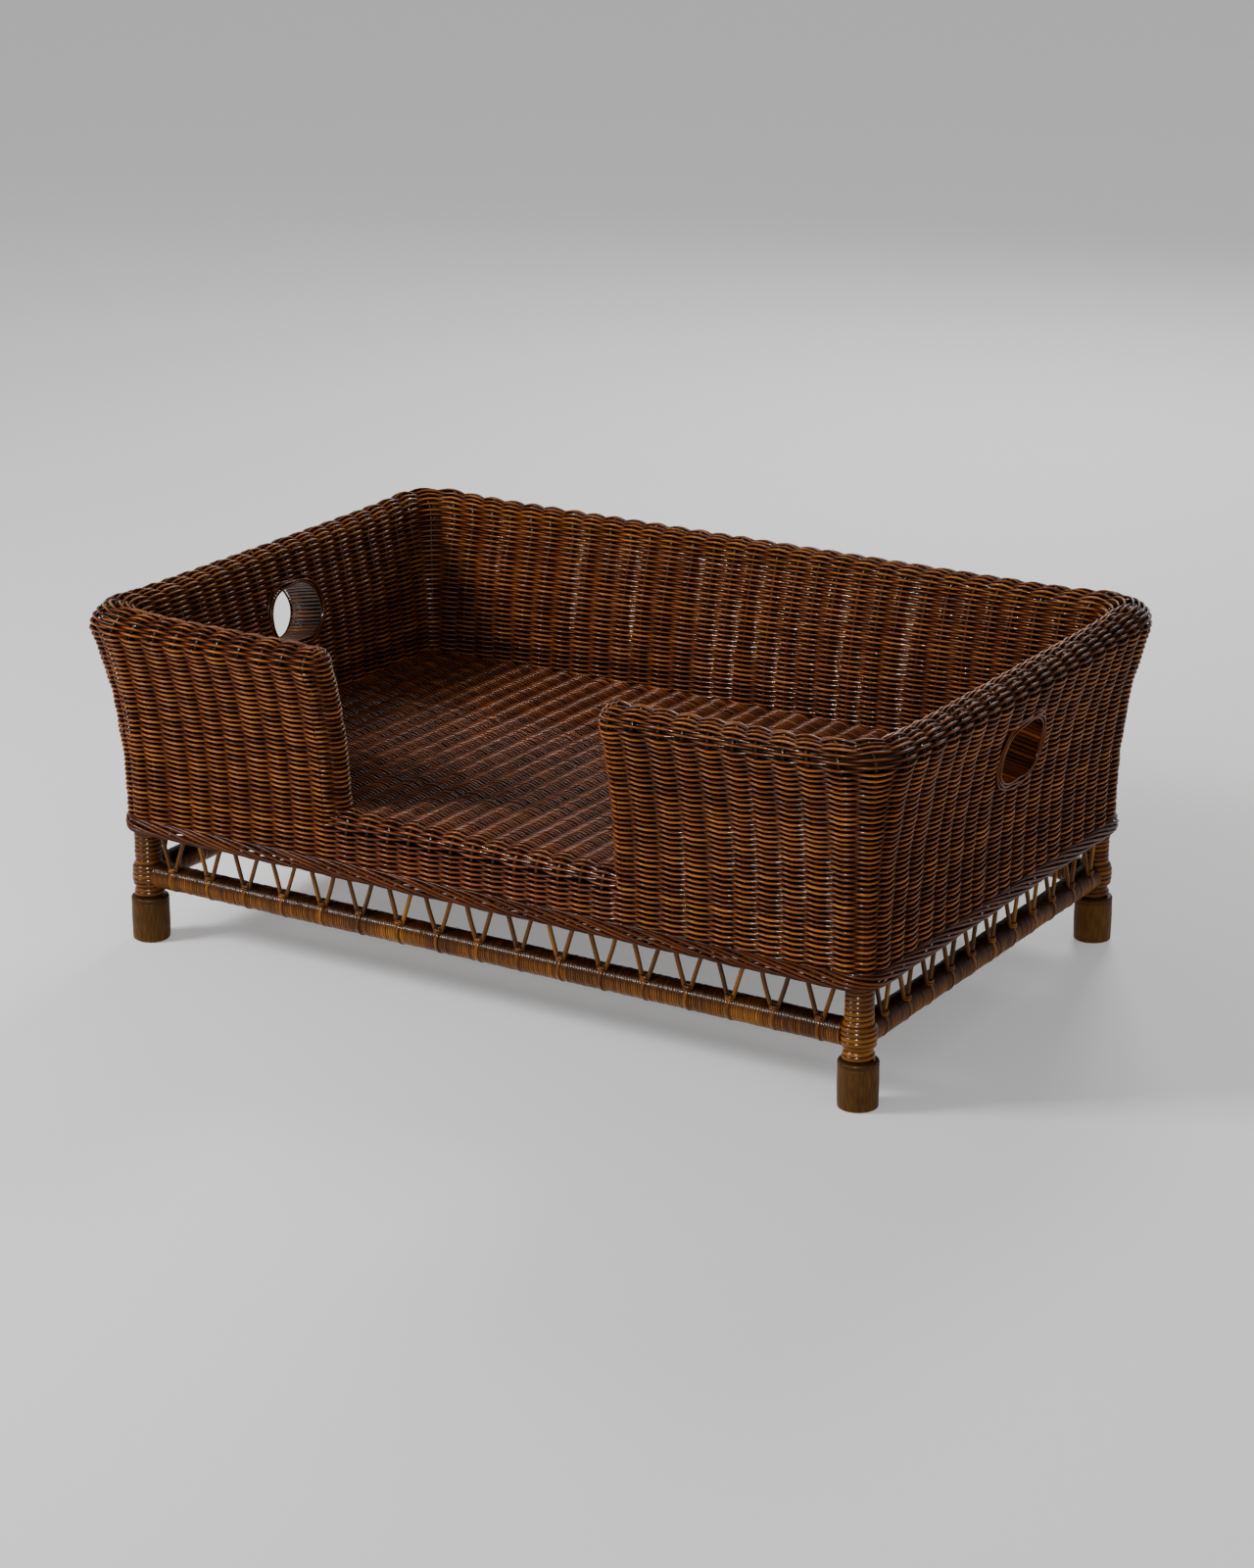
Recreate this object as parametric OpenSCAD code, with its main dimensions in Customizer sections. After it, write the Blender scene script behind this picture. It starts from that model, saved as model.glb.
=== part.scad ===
// Raised pet bed woven from rattan: a double-walled oblong basket with a low entry
// in its front wall and a hand-hole in each end wall, standing on four legs with
// wrapped rails and a row of thin V struts under the basket.
// Origin: centre of the footprint on the floor. +X along the length, -Y the entry side.

/* [Basket] */
// Length over the rim, along X
body_len = 900; // [840:5:960]
// Depth over the rim, along Y
body_w = 600; // [560:5:660]
// Height from the floor to the top of the rim
body_h = 350; // [335:5:380]
// Height of the basket's lower edge above the floor
base_z = 116; // [112:1:124]
// Height of the woven bed floor's top face
bed_z = 185; // [182:1:195]
// How far the rim overhangs the basket's lower edge at each end
flare_x = 25; // [18:1:30]
// How far the rim overhangs the basket's lower edge at front and back
flare_y = 30; // [20:1:34]
// Exponent of the flare: higher keeps the lower wall straighter
flare_power = 2.7; // [2:0.1:3.2]
// Corner radius of the outer wall at its lower edge
base_r = 30; // [28:1:40]
// Corner radius of the outer wall at the rim
rim_r = 50; // [45:1:60]
// Corner radius of the inner wall at the bed floor
inner_base_r = 12; // [8:1:16]
// Corner radius of the rim's inner edge
inner_rim_r = 33; // [24:1:36]

/* [Walls] */
// Distance between the outer and inner faces at the lower edge
wall_t = 40; // [39:1:42]
// Width of the rolled rim
rim_w = 43; // [42:1:46]
// Height of the rolled rim's crown
crown_h = 20; // [18:1:24]
// Thickness of one woven skin
skin_t = 7; // [6:0.5:7]
// Height of the rope border round the lower edge
border_h = 19; // [16:1:22]
// How far the rope border stands proud of the wall
border_proud = 2.5; // [1:0.5:4]

/* [Entry] */
// Clear width of the entry in the front wall
entry_w = 300; // [240:10:360]
// Depth of the rounded end of each front wall
end_round = 18; // [16:1:22]
// Outer radius of the roll over the entry sill
sill_r = 18; // [17:0.5:20]

/* [Hand-holes] */
// Clear width of a hand-hole
hole_w = 80; // [70:1:100]
// Clear height of a hand-hole
hole_h = 55; // [46:1:60]
// Height of a hand-hole's centre
hole_z = 276; // [270:1:280]
// Wall of the peel lining in a hand-hole
liner_t = 6; // [4:0.5:8]
// Downward tilt of a hand-hole towards the outside, in degrees
hole_tilt = 11; // [0:1:14]
// How far a lining stands proud of the woven faces
liner_proud = 3; // [1:0.5:4]

/* [Legs and rails] */
// Diameter of a leg pole
leg_d = 23; // [20:1:23]
// Inset of the leg axes from the basket's lower outer faces
leg_inset = 22; // [21.5:0.5:23]
// Height at which a leg pole ends inside the wall
leg_top_z = 235; // [200:5:240]
// Diameter of a wooden foot
foot_d = 38; // [34:1:44]
// Height of a wooden foot
foot_h = 46; // [40:1:50]
// Depth of the socket that takes the leg in a foot
socket_depth = 26; // [15:1:30]
// Height of the rail axes
rail_z = 69.5; // [68:0.5:74]
// Diameter of a rail pole
rail_pole_d = 22; // [18:1:23]
// Diameter of a rail over its peel wrapping
rail_d = 26; // [24:1:28]
// Diameter of the binding where rails meet a leg
binding_d = 34; // [31:1:36]

/* [V struts] */
// Number of V struts at front and at back
struts_long = 17; // [9:2:21]
// Number of V struts at each end
struts_short = 11; // [5:2:13]
// Spacing of the V struts at front and back
pitch_long = 45.8; // [30:0.1:46]
// Spacing of the V struts at the ends
pitch_short = 43.3; // [30:0.1:44]
// Diameter of a strut rod
strut_d = 4.5; // [3:0.5:5]
// How far the struts stand outside the rail's axis
strut_out = 6; // [4:0.5:8]
// Share of its spacing that a V spans at the top
strut_splay = 0.7; // [0.4:0.05:0.75]
// Width of the peel lashing at the foot of each V
lash_w = 7; // [4:1:10]

/* [Inner frame] */
// Diameter of the frame poles inside the wall
frame_d = 22; // [18:1:22]
// Diameter of the bars under the bed floor
bar_d = 20; // [16:1:22]
// Number of bars under the bed floor
bar_count = 7; // [7:1:9]
// Diameter of the posts inside the front walls' ends
post_d = 17; // [12:1:17]

/* [Hidden] */
$fn = 64;
SIDES = ["front", "back", "left", "right"];
CORNERS = ["front_left", "front_right", "back_left", "back_right"];
PANELS = ["front_left", "front_right", "left", "right", "back_left", "back_right"];
function names(stem, list) = [for (n = list) str(stem, "_", n)];

// Basket outline
base_x = body_len / 2 - flare_x;
base_y = body_w / 2 - flare_y;
crown_z = body_h - crown_h;
border_top = base_z + border_h;
wall_steps = 9;
crown_steps = 8;
corner_steps = 6;
entry_x = entry_w / 2 + end_round;
seam_y = base_y - wall_t - 20;

// Legs, rails and frame
leg_x = base_x - leg_inset;
leg_y = base_y - leg_inset;
leg_z0 = foot_h - socket_depth;
foot_edge = 2;
floor_pole_z = bed_z - skin_t - frame_d / 2;
bar_z = bed_z - skin_t - bar_d / 2;
base_pole_z = base_z + frame_d / 2 + 2;
rim_pole_d = 2 * (crown_h - skin_t);
strut_foot_z = rail_z + rail_d / 2 - 4;
strut_top_z = base_pole_z - frame_d / 2 + 3;
lash_t = 1.2;
bar_gap = 2 * leg_x / (bar_count + 1);

// Colours
c_weave = [0.42, 0.22, 0.10];
c_inner = [0.33, 0.16, 0.07];
c_peel = [0.52, 0.33, 0.14];
c_pole = [0.62, 0.45, 0.25];
c_foot = [0.30, 0.18, 0.10];

// ---- Basket surface -------------------------------------------------------
// A level is [half length, half depth, corner radius, height] of one outline.

// Share of the full flare that the wall has at height z
function flare_at(z) = pow(max(0, z - base_z) / (crown_z - base_z), flare_power);

// Outline of the outer face at height z, set in by `inset`
function outer_level(z, inset = 0) = let (f = flare_at(z)) [
    base_x + flare_x * f - inset,
    base_y + flare_y * f - inset,
    base_r + (rim_r - base_r) * f - inset,
    z];

// Outline of the inner face at height z, set out towards the outer face by `outset`
function inner_level(z, outset = 0) = let (f = flare_at(z)) [
    base_x - wall_t + (flare_x + wall_t - rim_w) * f + outset,
    base_y - wall_t + (flare_y + wall_t - rim_w) * f + outset,
    inner_base_r + (inner_rim_r - inner_base_r) * f + outset,
    z];

// Outline on the rolled rim at angle a: 0 is its outer edge, 180 its inner edge
function crown_level(a, inset = 0) = let (
    half = rim_w / 2 - inset,
    shift = half * cos(a)) [
    body_len / 2 - rim_w / 2 + shift,
    body_w / 2 - rim_w / 2 + shift,
    (rim_r + inner_rim_r) / 2 + (rim_r - inner_rim_r) / rim_w * shift,
    crown_z + (crown_h - inset) * sin(a)];

function steps(from, to, count) = [for (i = [0:count]) from + (to - from) * i / count];

// Closed cross-sections of the skins, as loops of levels
outer_loop = concat(
    [for (z = steps(border_top, crown_z, wall_steps)) outer_level(z)],
    [for (z = steps(crown_z, border_top, wall_steps)) outer_level(z, skin_t)]);
inner_loop = concat(
    [for (z = steps(bed_z, crown_z, wall_steps)) inner_level(z, skin_t)],
    [for (z = steps(crown_z, bed_z, wall_steps)) inner_level(z)]);
crown_loop = concat(
    [for (a = steps(0, 180, crown_steps)) crown_level(a)],
    [for (a = steps(180, 0, crown_steps)) crown_level(a, skin_t)]);
border_loop = [
    outer_level(base_z, 1),
    outer_level(base_z + border_h * 0.25, -border_proud),
    outer_level(base_z + border_h * 0.75, -border_proud),
    outer_level(border_top, 0),
    outer_level(border_top, skin_t),
    outer_level(base_z, skin_t)];

// A station is a place along the outline: [x sign, y sign, angle] on a corner,
// [x sign, y] on an end wall, or [x] on the front wall.
function corner_stations(sx, sy, from) =
    [for (a = steps(from, from + 90, corner_steps)) [sx, sy, a]];
function left_corner_run(x) = concat([[-1, -seam_y]], corner_stations(-1, -1, 180), [[-x]]);
function right_corner_run(x) = concat([[x]], corner_stations(1, -1, 270), [[1, -seam_y]]);
left_run = [[-1, seam_y], [-1, -seam_y]];
right_run = [[1, -seam_y], [1, seam_y]];

// Point of a level at a station
function spot(level, s) =
    len(s) == 1 ? [s[0], -level[1], level[3]] :
    len(s) == 2 ? [s[0] * level[0], s[1], level[3]] :
    [s[0] * (level[0] - level[2]) + level[2] * cos(s[2]),
     s[1] * (level[1] - level[2]) + level[2] * sin(s[2]),
     level[3]];

// Solid through rings of points, clockwise as seen from the last ring. Every ring has
// the same even count, with its first half facing its second. Capped unless closed.
module loft(rings, closed = false) {
    n = len(rings);
    m = len(rings[0]);
    last = closed ? n - 1 : n - 2;
    sides = [for (i = [0:last], j = [0:m - 1]) let (k = (j + 1) % m, b = (i + 1) % n)
        each [[i * m + j, i * m + k, b * m + k], [i * m + j, b * m + k, b * m + j]]];
    half = [for (j = [0:m / 2 - 2])
        each [[j, m - 2 - j, j + 1], [j, m - 1 - j, m - 2 - j]]];
    first = closed ? [] : half;
    far = closed ? [] : [for (t = half) [for (i = [2, 1, 0]) t[i] + (n - 1) * m]];
    polyhedron([for (r = rings) each r], concat(sides, first, far), convexity = 8);
}

// Skin with the given cross-section loop along a run of stations
module skin(loop, run, closed = false) {
    loft([for (s = run) [for (level = loop) spot(level, s)]], closed);
}

// Middle, half thickness and height of the front wall at height z
function wall_mid(z) = (outer_level(z)[1] + inner_level(z)[1]) / 2;
function wall_half(z) = (outer_level(z)[1] - inner_level(z)[1]) / 2;

// ---- Small shared shapes --------------------------------------------------

module pole_x(length, d) { rotate([0, 90, 0]) cylinder(h = length, d = d, center = true); }
module pole_y(length, d) { rotate([90, 0, 0]) cylinder(h = length, d = d, center = true); }

// Puts a child at each of the four leg axes
module at_legs() {
    for (x = [-leg_x, leg_x], y = [-leg_y, leg_y]) translate([x, y, 0]) children();
}

// Moves a child that lies at x = 0 or y = 0 to the named side, `out` beyond the leg axes
module at_side(side, out = 0) {
    if (side == "front") translate([0, -leg_y - out, 0]) children();
    if (side == "back") translate([0, leg_y + out, 0]) children();
    if (side == "left") translate([-leg_x - out, 0, 0]) children();
    if (side == "right") translate([leg_x + out, 0, 0]) children();
}
function is_long(side) = side == "front" || side == "back";

module at_corner(corner) {
    sx = corner == "front_left" || corner == "back_left" ? -1 : 1;
    sy = corner == "front_left" || corner == "front_right" ? -1 : 1;
    translate([sx * leg_x, sy * leg_y, 0]) children();
}

// ---- Legs and feet --------------------------------------------------------

module foot() {
    r = foot_d / 2;
    color(c_foot) difference() {
        rotate_extrude() polygon([
            [0, 0], [r - foot_edge, 0], [r, foot_edge],
            [r, foot_h - foot_edge], [r - foot_edge, foot_h], [0, foot_h]]);
        translate([0, 0, leg_z0]) cylinder(h = foot_h, d = leg_d);
    }
}

module leg() {
    color(c_pole) translate([0, 0, leg_z0]) cylinder(h = leg_top_z - leg_z0, d = leg_d);
}

// Peel sleeve: a collar on the foot, a swollen binding at the rails, then a plain wrap
module leg_wrap() {
    wrap_r = leg_d / 2 + 1.8;
    bind_r = binding_d / 2;
    low = rail_z - rail_d / 2;
    high = rail_z + rail_d / 2;
    color(c_peel) rotate_extrude() polygon([
        [leg_d / 2, foot_h], [wrap_r + 1.5, foot_h], [wrap_r + 1.5, low - 1],
        [bind_r - 1.5, low], [bind_r, low + 5], [bind_r, high - 5], [bind_r - 1.5, high],
        [wrap_r, high + 2], [wrap_r, base_z], [leg_d / 2, base_z]]);
}

// ---- Rails, lashings and struts -------------------------------------------

module rail_span(side, d) {
    difference() {
        at_side(side) translate([0, 0, rail_z])
            if (is_long(side)) pole_x(2 * leg_x, d);
            else pole_y(2 * leg_y, d);
        translate([0, 0, foot_h]) at_legs() cylinder(h = base_z - foot_h, d = binding_d);
    }
}

module rail(side) {
    color(c_pole) rail_span(side, rail_pole_d);
}

module rail_wrap(side) {
    color(c_peel) difference() {
        rail_span(side, rail_d);
        at_side(side) translate([0, 0, rail_z])
            if (is_long(side)) pole_x(2 * leg_x + 2, rail_pole_d);
            else pole_y(2 * leg_y + 2, rail_pole_d);
    }
}

// Puts a child, drawn in the XZ plane at x = 0, at every V along a side
module at_struts(side, out = 0) {
    count = is_long(side) ? struts_long : struts_short;
    pitch = is_long(side) ? pitch_long : pitch_short;
    at_side(side, out) rotate([0, 0, is_long(side) ? 0 : 90])
        for (i = [0:count - 1]) translate([(i - (count - 1) / 2) * pitch, 0, 0]) children();
}

// Two rods that spread from the rail to the frame above
module strut_pair(spread) {
    rise = strut_top_z - strut_foot_z;
    foot = strut_d / 2 + 0.5;
    lean = atan2(spread / 2 - foot, rise);
    for (s = [-1, 1]) translate([s * foot, 0, strut_foot_z])
        rotate([0, s * lean, 0]) cylinder(h = rise / cos(lean), d = strut_d);
}

module struts(side) {
    pitch = is_long(side) ? pitch_long : pitch_short;
    color(c_weave) difference() {
        at_struts(side, strut_out) strut_pair(pitch * strut_splay);
        at_side(side) translate([0, 0, rail_z])
            if (is_long(side)) pole_x(2 * leg_x, rail_d);
            else pole_y(2 * leg_y, rail_d);
        at_side(side) translate([0, 0, base_pole_z])
            if (is_long(side)) pole_x(2 * leg_x, frame_d);
            else pole_y(2 * leg_y, frame_d);
    }
}

// Peel band round the rail at the foot of each V, open at the top for the rods
module lashings(side) {
    gap = 2 * (strut_out + strut_d);
    color(c_peel) at_struts(side) translate([0, 0, rail_z]) difference() {
        pole_x(lash_w, rail_d + 2 * lash_t);
        pole_x(lash_w + 2, rail_d);
        translate([0, 0, rail_d / 2]) cube([lash_w + 2, gap, rail_d], center = true);
    }
}

// ---- Woven walls ----------------------------------------------------------

// Oblong cutter through an end wall, tilted down towards the outside
module hand_hole_shape(grow, side) {
    r = hole_h / 2 + grow;
    half = (hole_w - hole_h) / 2;
    reach = 3 * wall_t;
    translate([side * (base_x - wall_t / 2 + flare_x * flare_at(hole_z)), 0, hole_z])
        rotate([0, side * hole_tilt, 0]) {
            for (s = [-1, 1]) translate([0, s * half, 0])
                rotate([0, 90, 0]) cylinder(h = reach, r = r, center = true);
            cube([reach, 2 * half, 2 * r], center = true);
        }
}

module both_hand_holes(grow) {
    for (side = [-1, 1]) hand_hole_shape(grow, side);
}

module panel_skin(loop, panel) {
    if (panel == "front_left") skin(loop, left_corner_run(entry_x));
    if (panel == "front_right") skin(loop, right_corner_run(entry_x));
    if (panel == "left") skin(loop, left_run);
    if (panel == "right") skin(loop, right_run);
    if (panel == "back_left") mirror([0, 1, 0]) skin(loop, left_corner_run(0));
    if (panel == "back_right") mirror([0, 1, 0]) skin(loop, right_corner_run(0));
}

module outer_weave(panel) {
    color(c_weave)
        if (panel == "left" || panel == "right")
            difference() { panel_skin(outer_loop, panel); both_hand_holes(liner_t); }
        else panel_skin(outer_loop, panel);
}

module inner_weave(panel) {
    color(c_inner)
        if (panel == "left" || panel == "right")
            difference() { panel_skin(inner_loop, panel); both_hand_holes(liner_t); }
        else panel_skin(inner_loop, panel);
}

module rim(panel) {
    color(c_weave) panel_skin(crown_loop, panel);
}

module rope_border() {
    color(c_peel) skin(border_loop, concat(
        corner_stations(-1, -1, 180), corner_stations(1, -1, 270),
        corner_stations(1, 1, 0), corner_stations(-1, 1, 90)), closed = true);
}

// Tube of peel through an end wall, trimmed just proud of both woven faces
module hand_hole(side) {
    trim = concat(
        [for (z = steps(hole_z - hole_h, crown_z, wall_steps))
            [outer_level(z)[0] + liner_proud, z]],
        [for (z = steps(crown_z, hole_z - hole_h, wall_steps))
            [inner_level(z)[0] - liner_proud, z]]);
    color(c_peel) intersection() {
        difference() {
            hand_hole_shape(liner_t, side);
            hand_hole_shape(0, side);
        }
        mirror([side < 0 ? 1 : 0, 0, 0]) rotate([90, 0, 0])
            linear_extrude(height = 2 * hole_w, center = true) polygon(trim);
    }
}

// ---- Entry ----------------------------------------------------------------

// Section of the space under the sill's outer face, in the plane of y and z
module sill_section(r) {
    translate([-(base_y - sill_r), floor_pole_z]) circle(r = r);
    translate([-(base_y - sill_r) - r, border_top]) square([2 * r, floor_pole_z - border_top]);
}

module along_x(length) {
    rotate([90, 0, 90]) linear_extrude(height = length, center = true) children();
}

// Woven strip that climbs the front face and rolls over on to the bed floor
module entry_sill() {
    color(c_weave) along_x(2 * entry_x) difference() {
        sill_section(sill_r);
        sill_section(sill_r - skin_t);
        translate([-(base_y - sill_r), 0]) square([sill_r, bed_z]);
    }
}

// Half oval across the front wall's end at height z; `size` scales it over the crown
function end_ring(z, depth, thin, size) = [
    for (a = steps(90, -90, 13)) [
        depth * size * cos(a),
        -wall_mid(min(z, crown_z)) + (wall_half(min(z, crown_z)) - thin) * size * sin(a),
        z]];

// Upright rounded end of a front wall, domed at the top
module end_form(depth, thin, z0) {
    top = crown_h - thin;
    loft(concat(
        [for (z = steps(z0, crown_z, wall_steps)) end_ring(z, depth, thin, 1)],
        [for (a = [20:20:80]) end_ring(crown_z + top * sin(a), depth, thin, cos(a))]));
}

module entry_end(side) {
    color(c_weave) mirror([side > 0 ? 1 : 0, 0, 0]) difference() {
        translate([-entry_x, 0, 0]) end_form(end_round, 0, bed_z);
        translate([-entry_x - 1, 0, 0]) end_form(end_round - skin_t + 1, skin_t, bed_z - 1);
    }
}

// Bent pole inside each front wall's end, from the floor frame to the rim pole
module entry_posts() {
    low = floor_pole_z + frame_d / 2;
    high = crown_z - rim_pole_d / 2;
    color(c_pole) for (side = [-1, 1])
        loft([for (z = steps(low, high, wall_steps)) [for (a = [360:-22.5:22.5]) [
            side * entry_x + post_d / 2 * cos(a), -wall_mid(z) + post_d / 2 * sin(a), z]]]);
}

// ---- Bed floor and inner frame --------------------------------------------

module bed_floor() {
    level = inner_level(base_z, skin_t);
    color(c_inner) translate([0, 0, bed_z - skin_t]) linear_extrude(height = skin_t) {
        for (x = [-1, 1], y = [-1, 1])
            translate([x * (level[0] - level[2]), y * (level[1] - level[2])])
                circle(r = level[2]);
        square([2 * level[0], 2 * (level[1] - level[2])], center = true);
        square([2 * (level[0] - level[2]), 2 * level[1]], center = true);
        translate([-entry_x, -(base_y - sill_r)]) square([2 * entry_x, base_y]);
    }
}

// Poles between the legs, inside the wall
module leg_ring(z) {
    difference() {
        translate([0, 0, z]) {
            for (y = [-leg_y, leg_y]) translate([0, y, 0]) pole_x(2 * leg_x, frame_d);
            for (x = [-leg_x, leg_x]) translate([x, 0, 0]) pole_y(2 * leg_y, frame_d);
        }
        at_legs() translate([0, 0, z - frame_d]) cylinder(h = 2 * frame_d, d = leg_d);
        at_legs() translate([0, 0, z]) cube([frame_d, frame_d, frame_d + 2], center = true);
    }
}

module base_frame() { color(c_pole) leg_ring(base_pole_z); }
module floor_frame() { color(c_pole) leg_ring(floor_pole_z); }

module floor_bars() {
    color(c_pole) difference() {
        for (i = [1:bar_count]) translate([-leg_x + i * bar_gap, 0, bar_z])
            pole_y(2 * leg_y, bar_d);
        for (y = [-leg_y, leg_y]) translate([0, y, floor_pole_z]) pole_x(2 * leg_x, frame_d);
    }
}

// Pole that the weave rolls over, bent round the corners and cut at the entry
module rim_pole() {
    level = crown_level(90);
    half_x = level[0] - level[2];
    half_y = level[1] - level[2];
    color(c_pole) translate([0, 0, crown_z]) {
        for (c = [[1, 1, 0], [-1, 1, 90], [-1, -1, 180], [1, -1, 270]])
            translate([c[0] * half_x, c[1] * half_y, 0]) rotate([0, 0, c[2]])
                rotate_extrude(angle = 90) translate([level[2], 0]) circle(d = rim_pole_d);
        for (x = [-level[0], level[0]]) translate([x, 0, 0]) pole_y(2 * half_y, rim_pole_d);
        translate([0, level[1], 0]) pole_x(2 * half_x, rim_pole_d);
        for (s = [-1, 1]) translate([s * (half_x + entry_x) / 2, -level[1], 0])
            pole_x(half_x - entry_x, rim_pole_d);
    }
}

// ---- Assembly --------------------------------------------------------------

for (corner = CORNERS) {
    at_corner(corner) foot();
    at_corner(corner) leg();
    at_corner(corner) leg_wrap();
}
for (side = SIDES) {
    rail(side);
    rail_wrap(side);
    struts(side);
    lashings(side);
}
for (panel = PANELS) {
    outer_weave(panel);
    inner_weave(panel);
    rim(panel);
}
rope_border();
entry_sill();
entry_end(-1);  // entry_end_left
entry_end(1);  // entry_end_right
entry_posts();
bed_floor();
floor_bars();
floor_frame();
base_frame();
rim_pole();
hand_hole(-1);  // hand_hole_left
hand_hole(1);  // hand_hole_right
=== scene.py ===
import math

import bpy
import numpy as np
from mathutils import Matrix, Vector


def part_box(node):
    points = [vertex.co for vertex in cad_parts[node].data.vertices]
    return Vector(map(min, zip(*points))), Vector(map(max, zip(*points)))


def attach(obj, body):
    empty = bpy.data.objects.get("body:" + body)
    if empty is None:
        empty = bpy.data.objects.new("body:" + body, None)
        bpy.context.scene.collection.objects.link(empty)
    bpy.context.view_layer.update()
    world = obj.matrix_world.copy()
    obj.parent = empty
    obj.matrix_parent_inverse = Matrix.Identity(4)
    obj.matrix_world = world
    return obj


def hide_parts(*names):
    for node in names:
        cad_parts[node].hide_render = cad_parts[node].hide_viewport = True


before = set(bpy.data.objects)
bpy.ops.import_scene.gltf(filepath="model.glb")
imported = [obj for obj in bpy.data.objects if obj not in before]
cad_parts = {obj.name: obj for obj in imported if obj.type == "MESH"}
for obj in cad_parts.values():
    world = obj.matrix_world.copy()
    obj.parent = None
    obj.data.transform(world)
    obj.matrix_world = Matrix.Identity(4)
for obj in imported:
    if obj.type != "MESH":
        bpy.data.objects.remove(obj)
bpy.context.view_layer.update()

# Everything below is worked out in millimetres and turned into metres when a mesh is made.
MM = 0.001
FULL_TURN = 2 * math.pi
ANY_PHASE = (0, 6.28)
rng = np.random.default_rng(20417)


def high(node, axis):
    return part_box(node)[1][axis] / MM


def low(node, axis):
    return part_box(node)[0][axis] / MM


def middle(node, axis):
    return (high(node, axis) + low(node, axis)) / 2


def half_width(node, axis):
    return (high(node, axis) - low(node, axis)) / 2


def unit(vectors):
    return vectors / (np.linalg.norm(vectors, axis=-1, keepdims=True) + 1e-12)


def one_tone(mean, spread):
    """A random tone for one strand."""
    return float(np.clip(rng.normal(mean, spread), 0, 1))


# ---- Sizes, from the CAD frame ---------------------------------------------
# the body's outside, its flare and its wall
BODY_X, BODY_Y, BODY_Z = high("rim_right", 0), high("rim_back_left", 1), high("rim_back_left", 2)
BASE_Z, BORDER_TOP = low("rope_border", 2), high("rope_border", 2)
BED_Z = high("bed_floor", 2)
FLARE_X, FLARE_Y, FLARE_POWER = 25, 30, 2.7
BASE_X, BASE_Y = BODY_X - FLARE_X, BODY_Y - FLARE_Y
WALL_T, RIM_W, CROWN_H = 40, 43, 20
CROWN_Z = BODY_Z - CROWN_H
OUT_R, OUT_R_TOP, IN_R, IN_R_TOP = 30, 50, 12, 33      # corner radii
# the entry, the legs, the rails and the hand-holes
ENTRY_X = high("entry_sill", 0)
END_ROUND = ENTRY_X + high("entry_end_left", 0)
SILL_R = 18
SILL_Y, SILL_Z = -(BASE_Y - SILL_R), high("entry_sill", 2) - SILL_R
LEG_X, LEG_Y = middle("leg_front_right", 0), middle("leg_back_right", 1)
RAIL_Z, RAIL_R = middle("rail_front", 2), half_width("rail_wrap_front", 2)
FOOT_H, FOOT_R = high("foot_front_left", 2), half_width("foot_front_left", 0)
BIND_R = half_width("leg_wrap_front_left", 0)
HOLE_Z, HOLE_W, HOLE_H, HOLE_TILT = 276, 80, 55, math.radians(11)
HOLE_CUT = HOLE_H / 2 + 5.0      # the weave stops this far from the hole's centre line

# ---- The weave --------------------------------------------------------------
INSET = 4.2      # woven mid-surface, inside the solid's face
PITCH = 2.55     # row to row
WEAVER_R = 1.36
STAKE_R = 2.0
AMP = WEAVER_R + STAKE_R + 0.1
SPREAD = 0.045   # of the strands' radii
SUB = 5          # samples between two stakes
SIDES = 6        # round a strand
FAR_WANDER = (12, 60), (8, 40)      # wavelengths, in stakes and in rows, of how the faces swell

LOOP = [9, 2, 18, 2, 30, 2, 18, 2, 9]      # stake spaces along one outline
N_LOOP = sum(LOOP)
EDGE = np.concatenate([[0], np.cumsum(LOOP)]).astype(float)
N_CLOSED = 2 * N_LOOP + 4                  # right round a wall: both faces and two ends of 2 spaces
SILL_N = 14                                # stake spaces across the entry
SILL_STEP = 2 * ENTRY_X / SILL_N
# stake numbers of each panel's two edges, from the entry's left side
PANEL = {"front_left": (0, 12), "left": (12, 28), "back_left": (28, 46), "back_right": (46, 64),
         "right": (64, 80), "front_right": (80, 92)}


def flare_at(z):
    return (np.maximum(0, z - BASE_Z) / (CROWN_Z - BASE_Z)) ** FLARE_POWER


def outer_level(z, inset):
    """Half length, half depth and corner radius at height z, inset from the outer face."""
    f = flare_at(z)
    return (BASE_X + FLARE_X * f - inset, BASE_Y + FLARE_Y * f - inset,
            OUT_R + (OUT_R_TOP - OUT_R) * f - inset)


def inner_level(z, outset):
    """The same for the inner face, outset from it into the wall."""
    f = flare_at(z)
    return (BASE_X - WALL_T + (FLARE_X + WALL_T - RIM_W) * f + outset,
            BASE_Y - WALL_T + (FLARE_Y + WALL_T - RIM_W) * f + outset,
            IN_R + (IN_R_TOP - IN_R) * f + outset)


def crown_level(a, inset):
    """The same, and the height, at angle a over the rolled rim: 0 outside, half a turn inside."""
    shift = (RIM_W / 2 - inset) * math.cos(a)
    return (BODY_X - RIM_W / 2 + shift, BODY_Y - RIM_W / 2 + shift,
            (OUT_R_TOP + IN_R_TOP) / 2 + (OUT_R_TOP - IN_R_TOP) / RIM_W * shift,
            CROWN_Z + (CROWN_H - inset) * math.sin(a))


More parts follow.
